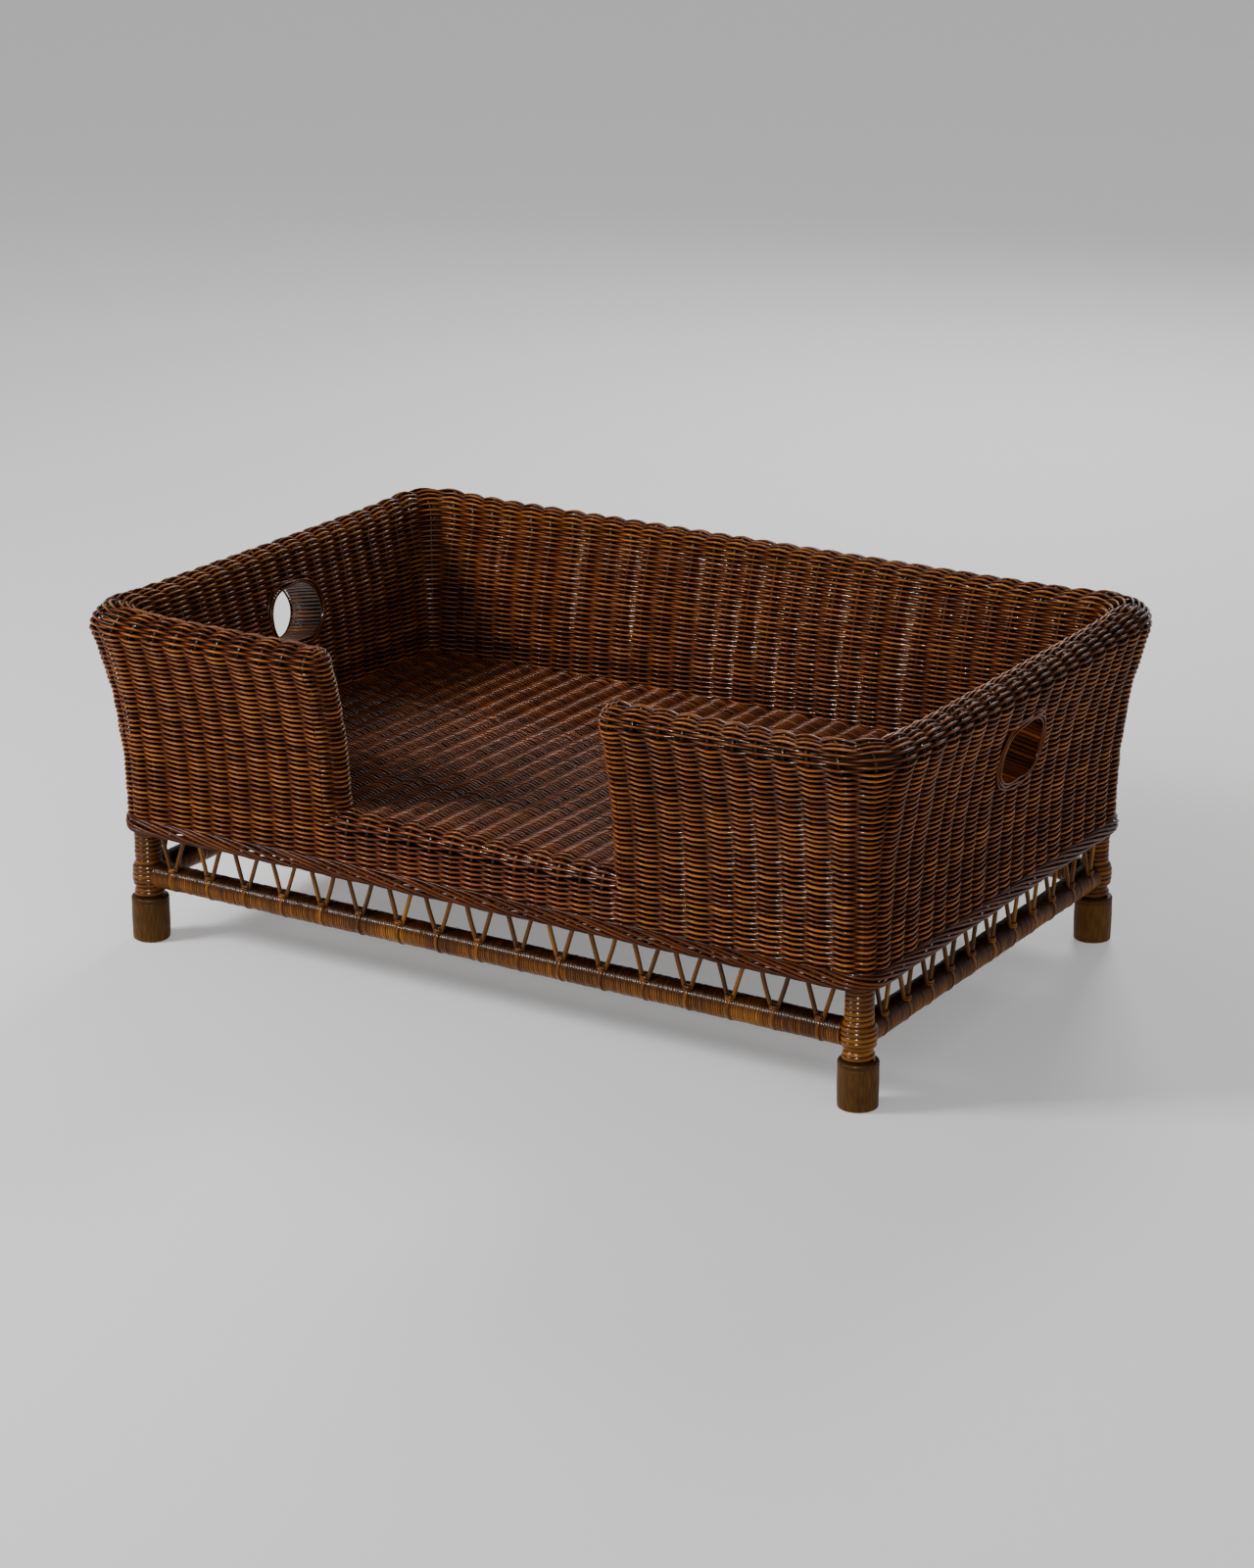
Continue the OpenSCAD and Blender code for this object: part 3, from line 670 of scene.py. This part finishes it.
for m in range(-16, 17):
    x = m * SILL_STEP
    if abs(x) > inner_x - 3:
        continue
    front = SILL_Y if abs(x) < ENTRY_X else -inner_y
    ys = np.linspace(front, inner_y, 70)
    p = np.stack([np.full_like(ys, x), ys, np.full_like(ys, floor_z)], -1)
    n = np.tile([0.0, 0, 1], (len(ys), 1))
    tone = one_tone(0.45, 0.15)
    bag("bed_floor_left" if x < 0 else "bed_floor_right").add(p, n, STAKE_R, tone, STAKE_RISE)
    if abs(x) < ENTRY_X:
        # up the sill's face and over its roll
        a = np.linspace(0, math.pi / 2, 8)
        zs = np.linspace(STAKE_FOOT, SILL_Z - 3, 6)
        py = np.concatenate([[-outer_level(z, INSET)[1] for z in zs], SILL_Y - roll_r * np.cos(a)])
        pz = np.concatenate([zs, SILL_Z + roll_r * np.sin(a)])
        ny, nz = np.concatenate([-np.ones_like(zs), -np.cos(a)]), np.concatenate([0 * zs, np.sin(a)])
        bag("entry_sill").add(np.stack([np.full_like(py, x), py, pz], -1),
                              np.stack([0 * py, ny, nz], -1), STAKE_R, tone, STAKE_RISE)

for name, strands in made.items():
    nodes = ["bed_floor"] if name.startswith("bed_floor") else [name]
    if name.startswith(("bed_floor", "inner_weave", "entry_sill")):
        strands.build(name + "_canes", m_inner, "inner_weave", nodes)
    else:
        strands.build(name + "_canes", m_outer, "outer_weave", nodes)

# ---- Dark sheet between the two woven faces, painted shade that keeps light from showing through the weave ---
SHEET_T = 0.7
SKIN_GAP = 10.5                              # from a face to the dark sheet behind its skin
SILL_GAP = 10.2
BED_SHEET_Z = high("floor_bars", 2) + 0.9


def quads_of(idx):
    """Corner numbers of the quads of a grid of point numbers."""
    return np.stack([idx[:-1, :-1], idx[1:, :-1], idx[1:, 1:], idx[:-1, 1:]], -1).reshape(-1, 4)


def shade_sheet(grids, name, mat):
    """One thin closed dark sheet from each grid of points, all in one mesh, open round the hand-holes:
    painted shade inside the hollow wall.
    """
    co, quads, n0 = [], [], 0
    for g in grids:
        n = grid_normals(g, False)
        m = g.shape[0] * g.shape[1]
        co += [(g + n * SHEET_T / 2).reshape(-1, 3), (g - n * SHEET_T / 2).reshape(-1, 3)]
        f = quads_of(np.arange(m).reshape(g.shape[:2]))
        mids = g.reshape(-1, 3)[f].mean(1)
        off = np.where(mids[:, 0] < 0, hole_distance(mids, -1), hole_distance(mids, 1))
        f = f[off > HOLE_CUT + 3]
        # the quads' sides that no other quad shares are where the sheet's two faces join
        seen = set(map(tuple, np.stack([f, np.roll(f, -1, 1)], -1).reshape(-1, 2).tolist()))
        a, b = np.array([(a, b) for a, b in seen if (b, a) not in seen]).T
        quads += [f + n0, f[:, ::-1] + m + n0, np.stack([b, a, a + m, b + m], -1) + n0]
        n0 += 2 * m
    used, quads = np.unique(np.concatenate(quads), return_inverse=True)
    co = np.concatenate(co)[used]
    grain = np.stack([co[:, 2] * 0.5, co[:, 0] * 0.4, co[:, 1] * 0.4], -1)
    make_mesh(name, co, [quads.reshape(-1, 4)], np.full(len(co), 0.4), np.full(len(co), 0.2), grain,
              mat, [])


def mid_level(z, _):
    z = min(z, CROWN_Z)
    return tuple((a + b) / 2 for a, b in zip(outer_level(z, 0), inner_level(z, 0)))


u_band = np.arange(0.05, N_LOOP - 0.04, 0.25)


def band(level, heights):
    """A grid along the walls at a level's distance behind a face."""
    return np.stack([np.stack([*outline(level(z, SKIN_GAP), u_band), np.full_like(u_band, z)], -1)
                     for z in heights])


band_z = np.linspace(BORDER_TOP + 3, CROWN_Z, 30)
a = np.linspace(0, math.pi / 2, 6)
sy = np.concatenate([[-BASE_Y + SILL_GAP] * 2, SILL_Y - (SILL_R - SILL_GAP) * np.cos(a), [SILL_Y + 20]])
sz = np.concatenate([[BORDER_TOP + 3, SILL_Z - 8], SILL_Z + (SILL_R - SILL_GAP) * np.sin(a), [BED_SHEET_Z]])
xs = np.linspace(-ENTRY_X - 8, ENTRY_X + 8, 17)
strip = np.stack([np.stack([-xs, np.full_like(xs, y), np.full_like(xs, z)], -1) for y, z in zip(sy, sz)])
xs = np.linspace(inner_x + 6, -inner_x - 6, 20)
bed = np.stack([np.stack([xs, np.full_like(xs, y), np.full_like(xs, BED_SHEET_Z)], -1)
                for y in np.linspace(-inner_y - 6, inner_y + 6, 14)])
shade_sheet([band(mid_level, [*band_z, CROWN_Z + 7]), band(outer_level, band_z),
       band(inner_level, band_z[band_z > BED_Z - 5]), strip, bed], "wall_shade_sheet", m_shade_sheet)

# ---- Rope border ---------------------------------------------------------------------
rope = Strands()
BORDER_Z = (BASE_Z + BORDER_TOP) / 2
ROPE_R, ROPE_OUT, ROPE_UP = 1.55, 2.9, 7.2      # a strand's radius and the rope's half width and height
N_STRAND, N_TWIST, ROPE_POINTS, SEAM = 10, 12, 460, 40
bx, by, br = outer_level(BORDER_Z, 2.0)
corner = math.pi / 2 * br
lens = [2 * (bx - br), corner, 2 * (by - br), corner] * 2
total = sum(lens)


def border_point(s):
    """Points and outward directions at lengths s along the border, clockwise seen from above,
    from the right end of the front."""
    c = np.cumsum([0] + lens)
    pt, out = np.zeros((len(s), 3)), np.zeros((len(s), 3))
    for i in range(8):
        m = (s >= c[i]) & (s < c[i + 1])
        f = s[m] - c[i]
        if i % 2 == 0:
            out[m, :2] = {0: (0, -1), 2: (-1, 0), 4: (0, 1), 6: (1, 0)}[i]
            dx, dy = {0: (-1, 0), 2: (0, 1), 4: (1, 0), 6: (0, -1)}[i]
            x0, y0 = {0: (bx - br, -by), 2: (-bx, -(by - br)), 4: (-(bx - br), by), 6: (bx, by - br)}[i]
            pt[m, 0], pt[m, 1] = x0 + dx * f, y0 + dy * f
        else:
            cx, cy, a0 = {1: (-1, -1, 1.5), 3: (-1, 1, 1.0), 5: (1, 1, 0.5), 7: (1, -1, 0.0)}[i]
            a = a0 * math.pi - f / br
            out[m, 0], out[m, 1] = np.cos(a), np.sin(a)
            pt[m, 0], pt[m, 1] = cx * (bx - br) + br * np.cos(a), cy * (by - br) + br * np.sin(a)
    pt[:, 2] = BORDER_Z
    return pt, out


s = np.arange(ROPE_POINTS) / ROPE_POINTS * total
pt, out = border_point(s)
seam = 1 - np.clip(np.minimum(s, total - s) / SEAM, 0, 1)      # the twist is even where the ends meet
for i in range(N_STRAND):
    even = FULL_TURN * (i / N_STRAND + N_TWIST * s / total)
    ph = even + ripple(s / 30, np.full_like(s, 7.0 * i), 4, 0.10)
    ph = ph * (1 - seam) + even * seam
    width = ROPE_OUT + 0.25 * np.cos(FULL_TURN * 19 * s / total + i)
    p = pt + out * (width * np.cos(ph))[:, None]
    p[:, 2] += (ROPE_UP + 0.4 * np.sin(FULL_TURN * 31 * s / total)) * np.sin(ph)
    n = out * (np.cos(ph) * (ROPE_UP + 0.5))[:, None]
    n[:, 2] += np.sin(ph) * (ROPE_OUT + 0.7)
    n /= np.linalg.norm(n, axis=1, keepdims=True)
    # painted shade: a strand is lighter on the rope's outside and darker where it turns in
    rope.add(p, n, ROPE_R, one_tone(0.45, 0.12), 0.40 + 0.4 * np.cos(ph), closed=True)
rope.build("rope_border_strands", m_outer, "outer_weave", ["rope_border"], 7)

# ---- Hand-holes ------------------------------------------------------------------------
# the strands round an opening: distance outside the hole's edge, and how far they stand out
RIM_STRANDS = ((1.6, 4.4), (5.0, 4.2), (8.2, 3.6))
RIM_STRAND_R, RIM_POINTS = 1.2, 96
N_STRIP, STRIP_R, STRIP_FLAT = 58, 2.05, 0.62
for side, name in ((-1, "hand_hole_left"), (1, "hand_hole_right")):
    hole, ring = Strands(), Strands()
    c0 = np.array([side * HOLE_X, 0, HOLE_Z])
    axis = np.array([side * math.cos(HOLE_TILT), 0, -math.sin(HOLE_TILT)])
    e_z = np.array([side * math.sin(HOLE_TILT), 0, math.cos(HOLE_TILT)])
    half = (HOLE_W - HOLE_H) / 2

    def oval(r, n):
        """Points of an oblong of end radius r, evenly spaced, with their outward directions."""
        per = FULL_TURN * r + 4 * half
        s = (np.arange(n) + 0.5) / n * per
        y, z, oy, oz = np.zeros(n), np.zeros(n), np.zeros(n), np.zeros(n)
        for i, v in enumerate(s):
            if v < 2 * half:
                y[i], z[i], oz[i] = -half + v, r, 1
            elif v < 2 * half + math.pi * r:
                a = math.pi / 2 - (v - 2 * half) / r
                y[i], z[i], oy[i], oz[i] = half + r * math.cos(a), r * math.sin(a), math.cos(a), math.sin(a)
            elif v < 4 * half + math.pi * r:
                y[i], z[i], oz[i] = half - (v - 2 * half - math.pi * r), -r, -1
            else:
                a = -math.pi / 2 - (v - 4 * half - math.pi * r) / r
                y[i], z[i], oy[i], oz[i] = -half + r * math.cos(a), r * math.sin(a), math.cos(a), math.sin(a)
        return y, z, oy, oz

    def on_face(y, z, outside, proud):
        """Points of the tilted tube's outline where it meets the outer or inner face."""
        xi = np.zeros_like(y)
        for _ in range(8):
            h = c0[2] + xi * axis[2] + z * e_z[2]
            face = (outer_level(h, INSET)[0] + proud) if outside else (inner_level(h, INSET)[0] - proud)
            xi = (side * face - c0[0] - z * e_z[0]) / axis[0]
        return c0 + xi[:, None] * axis + y[:, None] * [0, 1, 0] + z[:, None] * e_z

    turn = np.arange(RIM_POINTS) / RIM_POINTS * FULL_TURN
    for outside in (True, False):
        for j, (off, proud) in enumerate(RIM_STRANDS):
            y, z, oy, oz = oval(HOLE_H / 2 + off, RIM_POINTS)
            y, z = [v + o * 0.9 * np.sin(turn * (3 + j) + 2 * j) for v, o in ((y, oy), (z, oz))]
            p = on_face(y, z, outside, proud + 0.5 * np.cos(turn * (5 + j)))
            n = np.tile(axis if outside else -axis, (RIM_POINTS, 1))
            ring.add(p, n, RIM_STRAND_R, float(rng.normal(0.5, 0.12)), 0.8, closed=True)
    y, z, oy, oz = oval(HOLE_H / 2 + 2.6, N_STRIP)
    a, b = on_face(y, z, True, 3.2), on_face(y, z, False, 3.2)
    f = np.linspace(0, 1, 9)[:, None]
    for i in range(N_STRIP):
        n = -(oy[i] * np.array([0, 1, 0]) + oz[i] * e_z)
        bow = np.sin(f * math.pi) ** 2 * 0.7
        hole.add(a[i] + (b[i] - a[i]) * f - n * bow, np.tile(n, (len(f), 1)), STRIP_R,
                 one_tone(0.5, 0.25), 0.75, flat=STRIP_FLAT)
    hole.build(name + "_lining", m_dark_peel, "rattan_peel", [name], 8)
    ring.build(name + "_rim", m_outer, "outer_weave", [name], 6)

# ---- Wrapped rails and legs ---------------------------------------------------------------
def wrapping(centre, along, across, length, radius, pitch, sides, name, node,
             bulge=0.45, profile_n=5, shade=0.0):
    """A flat strip wound closely round a straight pole: one long ribbon with a rounded section.
    radius gives the pole's radius at a distance along it."""
    turns = int(round(length / pitch))
    pitch = length / turns
    n = turns * sides
    phi = np.arange(n + 1) / sides * FULL_TURN
    noise_turn, turn_no = phi / 6.28, np.minimum((phi / 6.2832).astype(int), turns)
    centre, along, across = (np.array(v, float) for v in (centre, along, across))
    third = np.cross(along, across)
    f = np.linspace(0, 1, profile_n)      # across the strip
    shape = bulge * (1 - np.abs(2 * f - 1) ** 3) - bulge * 0.55
    wander = ripple(noise_turn, 0 * phi, 5, 0.05, (3, 25), (5, 9))
    d = (phi / FULL_TURN)[:, None] * pitch + (f[None] - 0.5) * pitch + wander[:, None] * pitch
    d = np.clip(d, 0, length)
    # each turn lies a little high or low, and a little tilted
    height, tilt = rng.normal(0, 0.13, (2, turns + 1))[:, turn_no]
    r = radius(d) + shape[None] + height[:, None] + tilt[:, None] * (2 * f[None] - 1)
    dirs = np.cos(phi)[:, None] * across + np.sin(phi)[:, None] * third
    co = centre + d[..., None] * along + r[..., None] * dirs[:, None]
    tones = 0.5 + ripple(noise_turn, 0 * phi, 8, 0.10, (12, 70), (5, 9))
    tones = np.clip(tones + rng.normal(0, 0.07, turns + 1)[turn_no], 0, 1)
    # the stain is darkest along the top of a level pole
    stain = np.clip(dirs[:, 2] * 1.6 - 0.1, 0, 1) if abs(along[2]) < 0.5 else 0 * phi
    # painted shade across the strip: lighter in its middle and darker at its edges, between the turns
    rises = (0.10 + 0.65 * (1 - np.abs(2 * f - 1) ** 2) - shade)[None] - 0.75 * stain[:, None]
    grain = np.stack([np.repeat(phi * 13, profile_n), np.tile(f * 2.2, n + 1), np.zeros(rises.size)], -1)
    make_mesh(name, co.reshape(-1, 3), [quads_of(np.arange(rises.size).reshape(rises.shape))],
              np.repeat(tones, profile_n), rises.reshape(-1), grain, m_peel, [node])


RAIL_PITCH, LEG_PITCH = 2.6, 4.7
WRAP_END = 13      # from a leg's axis to the end of a rail's winding
for side, sx, sy in (("front", 0, -1), ("back", 0, 1), ("left", -1, 0), ("right", 1, 0)):
    reach = (LEG_X if sx == 0 else LEG_Y) - WRAP_END
    start = (-reach, sy * LEG_Y, RAIL_Z) if sx == 0 else (sx * LEG_X, -reach, RAIL_Z)
    lumps = rng.uniform(*ANY_PHASE, 3)

    def rail_radius(d):
        return RAIL_R + 0.15 * np.sin(d / 37 + lumps[0]) + 0.12 * np.sin(d / 11 + lumps[1])

    wrapping(start, (1, 0, 0) if sx == 0 else (0, 1, 0), (0, 0, 1), 2 * reach, rail_radius, RAIL_PITCH, 22,
             f"rail_wrap_{side}_winding", f"rail_wrap_{side}")

LOW, HIGH = RAIL_Z - RAIL_R, RAIL_Z + RAIL_R
LEG_WRAP_R = high("leg_front_right", 0) - LEG_X + 1.8
for cy, sy in (("front", -1), ("back", 1)):
    for cx, sx in (("left", -1), ("right", 1)):
        bumps = rng.uniform(*ANY_PHASE, 2)

        def leg_radius(d):
            """A collar on the foot, a barrel round the rails' ends and a plain wrap above."""
            z = FOOT_H + d
            collar = LEG_WRAP_R + 1.6 * np.clip((LOW - 1 - z) / 3, 0, 1)
            barrel = BIND_R - 0.4 - 4.3 * np.clip((z - RAIL_Z) / (RAIL_R + 1), -1.05, 1.05) ** 4
            upper = np.where(z < HIGH + 1, np.maximum(barrel, LEG_WRAP_R), LEG_WRAP_R)
            return np.where(z < LOW - 1, collar, upper) + 0.2 * np.sin(d / 7 + bumps[0])

        wrapping((sx * LEG_X, sy * LEG_Y, FOOT_H), (0, 0, 1), (1, 0, 0), BASE_Z + 6 - FOOT_H, leg_radius,
                 LEG_PITCH, 30, f"leg_wrap_{cy}_{cx}_winding", f"leg_wrap_{cy}_{cx}",
                 bulge=0.9, profile_n=7, shade=0.14)

# ---- Feet ------------------------------------------------------------------------------------
FOOT_EDGE, FOOT_SIDES = 2.2, 48


def rounded(base_z, start, end):
    """Radii and heights of the foot's rounded edge, between two angles in degrees."""
    return [(FOOT_R - FOOT_EDGE + FOOT_EDGE * math.cos(math.radians(a)),
             base_z + FOOT_EDGE * math.sin(math.radians(a))) for a in np.linspace(start, end, 5)]


# radii and heights from the floor up, with a fine groove near the top
prof = [(FOOT_R - 3.4, 0.0), *rounded(FOOT_EDGE, -90, 0)]
prof += [(FOOT_R - 0.15 * math.sin(z / 5), z) for z in np.linspace(8, FOOT_H - 8, 6)]
prof += [(FOOT_R - 0.05, FOOT_H - 5.2), (FOOT_R - 0.6, FOOT_H - 4.6), (FOOT_R - 0.1, FOOT_H - 4.0)]
prof += rounded(FOOT_H - FOOT_EDGE, 0, 90)
ang = np.arange(FOOT_SIDES) / FOOT_SIDES * FULL_TURN
ring_i = 1 + np.arange(len(prof) * FOOT_SIDES).reshape(len(prof), FOOT_SIDES)
nxt = np.roll(ring_i, -1, 1)
foot_faces = [np.stack([ring_i[:-1], nxt[:-1], nxt[1:], ring_i[1:]], -1).reshape(-1, 4),
              np.stack([np.zeros_like(nxt[0]), nxt[0], ring_i[0]], -1),
              np.stack([ring_i[-1], nxt[-1], np.full_like(nxt[-1], 1 + ring_i[-1, -1])], -1)]
for cy, sy in (("front", -1), ("back", 1)):
    for cx, sx in (("left", -1), ("right", 1)):
        worn = rng.normal(0, 1, 3)
        co = [(0, 0, 0)]
        for r, z in prof:
            out_r = r * (1 + 0.004 * np.sin(ang * 2 + worn[0]) + 0.003 * np.sin(ang * 5 + worn[1]))
            if z < 3:
                out_r = out_r - 0.35 * (1 + np.sin(ang * 3 + worn[2])) * (z < 2.5)
            co += list(zip(out_r * np.cos(ang), out_r * np.sin(ang), np.full_like(ang, z)))
        co = np.array([*co, (0, 0, FOOT_H)])
        a_all = np.arctan2(co[:, 1], co[:, 0])
        grain = np.stack([co[:, 2] * 1.3 + 40 * worn[0], np.cos(a_all) * 9, np.sin(a_all) * 9], -1)
        # darker over the top 5 mm: painted shade of the gap round the leg; lighter along the bottom 2 mm
        rise_v = np.clip(0.62 - 0.35 * (co[:, 2] > FOOT_H - 5) + 0.45 * (co[:, 2] < 2.0), 0, 1)
        make_mesh(f"foot_{cy}_{cx}_turned", co + [sx * LEG_X, sy * LEG_Y, 0], foot_faces,
                  np.full(len(co), 0.5 + 0.05 * worn[1]), rise_v, grain, m_foot,
                  [f"foot_{cy}_{cx}"])

# ---- Struts and lashings ----------------------------------------------------------------------
STRUT_R, STRUT_GAP, STRUT_OUT = 2.25, 2.65, 7.5      # radius, half the gap at the foot, distance outwards
STRAP_R, STRAP_FLAT, KNOT_R = 2.2, 0.26, 1.05
strut_foot_z, strut_top_z = RAIL_Z + RAIL_R - 4, BASE_Z + 5
for side, sx, sy, count, pitch in (("front", 0, -1, 17, 45.8), ("back", 0, 1, 17, 45.8),
                                   ("left", -1, 0, 11, 43.3), ("right", 1, 0, 11, 43.3)):
    rods, ties = Strands(), Strands()
    out = np.array([sx, sy, 0.0])
    if sx == 0:
        mid_side, along = np.array([0, sy * LEG_Y, 0.0]), np.array([1.0, 0, 0])
    else:
        mid_side, along = np.array([sx * LEG_X, 0, 0.0]), np.array([0, 1.0, 0])
    f = np.linspace(0, 1, 7)
    for i in range(count):
        c = mid_side + along * ((i - (count - 1) / 2) * pitch + rng.normal(0, 0.5))
        for s in (-1, 1):
            spread = STRUT_GAP + (pitch * 0.35 - STRUT_GAP + rng.normal(0, 0.5)) * f
            bow = rng.normal(0, 0.5) * np.sin(f * math.pi)
            p = c + along * (s * spread + bow)[:, None] + out * (STRUT_OUT - f)[:, None]
            p[:, 2] = strut_foot_z + (strut_top_z - strut_foot_z) * f
            rods.add(p, np.tile(out, (len(f), 1)), STRUT_R * (1 + rng.normal(0, 0.03)),
                     one_tone(0.45, 0.2), 0.35 + 0.3 * f)
        # strap down the rail's face and round it
        a = np.radians(np.linspace(52, -215, 22))
        rr = RAIL_R + 0.3
        p = c + out * (rr * np.cos(a))[:, None]
        p[:, 2] = RAIL_Z + rr * np.sin(a)
        n = out * np.cos(a)[:, None]
        n[:, 2] = np.sin(a)
        ties.add(p, n, STRAP_R, one_tone(0.45, 0.08), 0.75, flat=STRAP_FLAT)
        # knot where the two rods meet the rail
        a = np.linspace(0, FULL_TURN, 15)[:-1]
        for j, tilt in enumerate((-0.5, 0.5, 0.0)):
            outwards = RAIL_R * 0.72 - 0.6 + 3.0 * np.sin(a)
            p = c + along * (3.9 * np.cos(a))[:, None] + out * outwards[:, None]
            p[:, 2] = RAIL_Z + RAIL_R * 0.78 + j * 1.5 + tilt * 1.5 * np.cos(a)
            n = along * np.cos(a)[:, None] + out * np.sin(a)[:, None]
            ties.add(p, n, KNOT_R, one_tone(0.5, 0.12), 0.65, closed=True)
    rods.build(f"struts_{side}_rods", m_rod, "rattan_rod", [f"struts_{side}"], 8)
    ties.build(f"lashings_{side}_ties", m_peel, "rattan_peel", [f"lashings_{side}"], 6)

# ---- CAD nodes shown as they are: poles, posts, frames and bars -----------------------------------
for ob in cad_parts.values():
    if not ob.hide_render and ob.type == "MESH":
        for ms in ob.material_slots:
            ms.material = m_pole

# ---- Floor, light and camera ----------------------------------------------------------------------
def floor_material():
    mat = bpy.data.materials.new("studio_floor")
    mat.use_nodes = True
    nt = mat.node_tree
    bsdf = nt.nodes["Principled BSDF"]
    noise = nt.nodes.new("ShaderNodeTexNoise")
    noise.inputs["Scale"].default_value = 3.0
    ramp = nt.nodes.new("ShaderNodeValToRGB")
    ramp.color_ramp.elements[0].color = (0.80, 0.80, 0.80, 1)
    ramp.color_ramp.elements[1].color = (0.84, 0.84, 0.84, 1)
    nt.links.new(noise.outputs["Fac"], ramp.inputs[0])
    nt.links.new(ramp.outputs[0], bsdf.inputs["Base Color"])
    nt.links.new(ramp.outputs[0], bsdf.inputs["Emission Color"])
    bsdf.inputs["Emission Strength"].default_value = 0.3
    bsdf.inputs["Roughness"].default_value = 0.7
    return mat


me = bpy.data.meshes.new("studio_floor")
me.from_pydata([(-20, -20, 0), (20, -20, 0), (20, 20, 0), (-20, 20, 0)], [], [(0, 1, 2, 3)])
me.materials.append(floor_material())
floor = bpy.data.objects.new("studio_floor", me)
bpy.context.scene.collection.objects.link(floor)

world = bpy.context.scene.world or bpy.data.worlds.new("studio")
bpy.context.scene.world = world
world.use_nodes = True
wt = world.node_tree
sky = wt.nodes["Background"]
sky.inputs[1].default_value = 1.0
way = wt.nodes.new("ShaderNodeTexCoord")
split = wt.nodes.new("ShaderNodeSeparateXYZ")
fade = wt.nodes.new("ShaderNodeValToRGB")
wt.links.new(way.outputs["Generated"], split.inputs[0])
wt.links.new(split.outputs["Z"], fade.inputs[0])
wt.links.new(fade.outputs[0], sky.inputs[0])
fade.color_ramp.interpolation = "EASE"
horizon, overhead = fade.color_ramp.elements
horizon.position, horizon.color = 0.12, (0.9, 0.9, 0.91, 1)
overhead.position, overhead.color = 0.42, (0.24, 0.24, 0.245, 1)


AIM = (0, 0, 0.2)


def area(name, loc, size, power, only_shine=False):
    """A square lamp aimed at the basket. With only_shine it adds gleams and no diffuse light."""
    lamp = bpy.data.lights.new(name, "AREA")
    lamp.energy, lamp.size = power, size
    ob = bpy.data.objects.new(name, lamp)
    ob.visible_diffuse = not only_shine
    ob.location = loc
    ob.rotation_mode = "QUATERNION"
    ob.rotation_quaternion = (Vector(AIM) - Vector(loc)).to_track_quat("-Z", "Y")
    bpy.context.scene.collection.objects.link(ob)


area("key", (-1.85, -1.8, 1.85), 0.8, 78)
area("fill", (2.8, -1.4, 1.5), 1.2, 6)
area("glint", (0.75, -2.85, 2.3), 0.35, 230, only_shine=True)
area("back", (-0.7, 2.8, 2.0), 1.0, 42)

cam_data = bpy.data.cameras.new("camera")
cam_data.lens, cam_data.sensor_width, cam_data.sensor_fit = 84.93, 36.0, "AUTO"
cam = bpy.data.objects.new("camera", cam_data)
cam.location = (1.835453, -2.957438, 1.334732)
cam.rotation_euler = (math.radians(90 - 18.61), 0, math.radians(31.74))
bpy.context.scene.collection.objects.link(cam)
bpy.context.scene.camera = cam
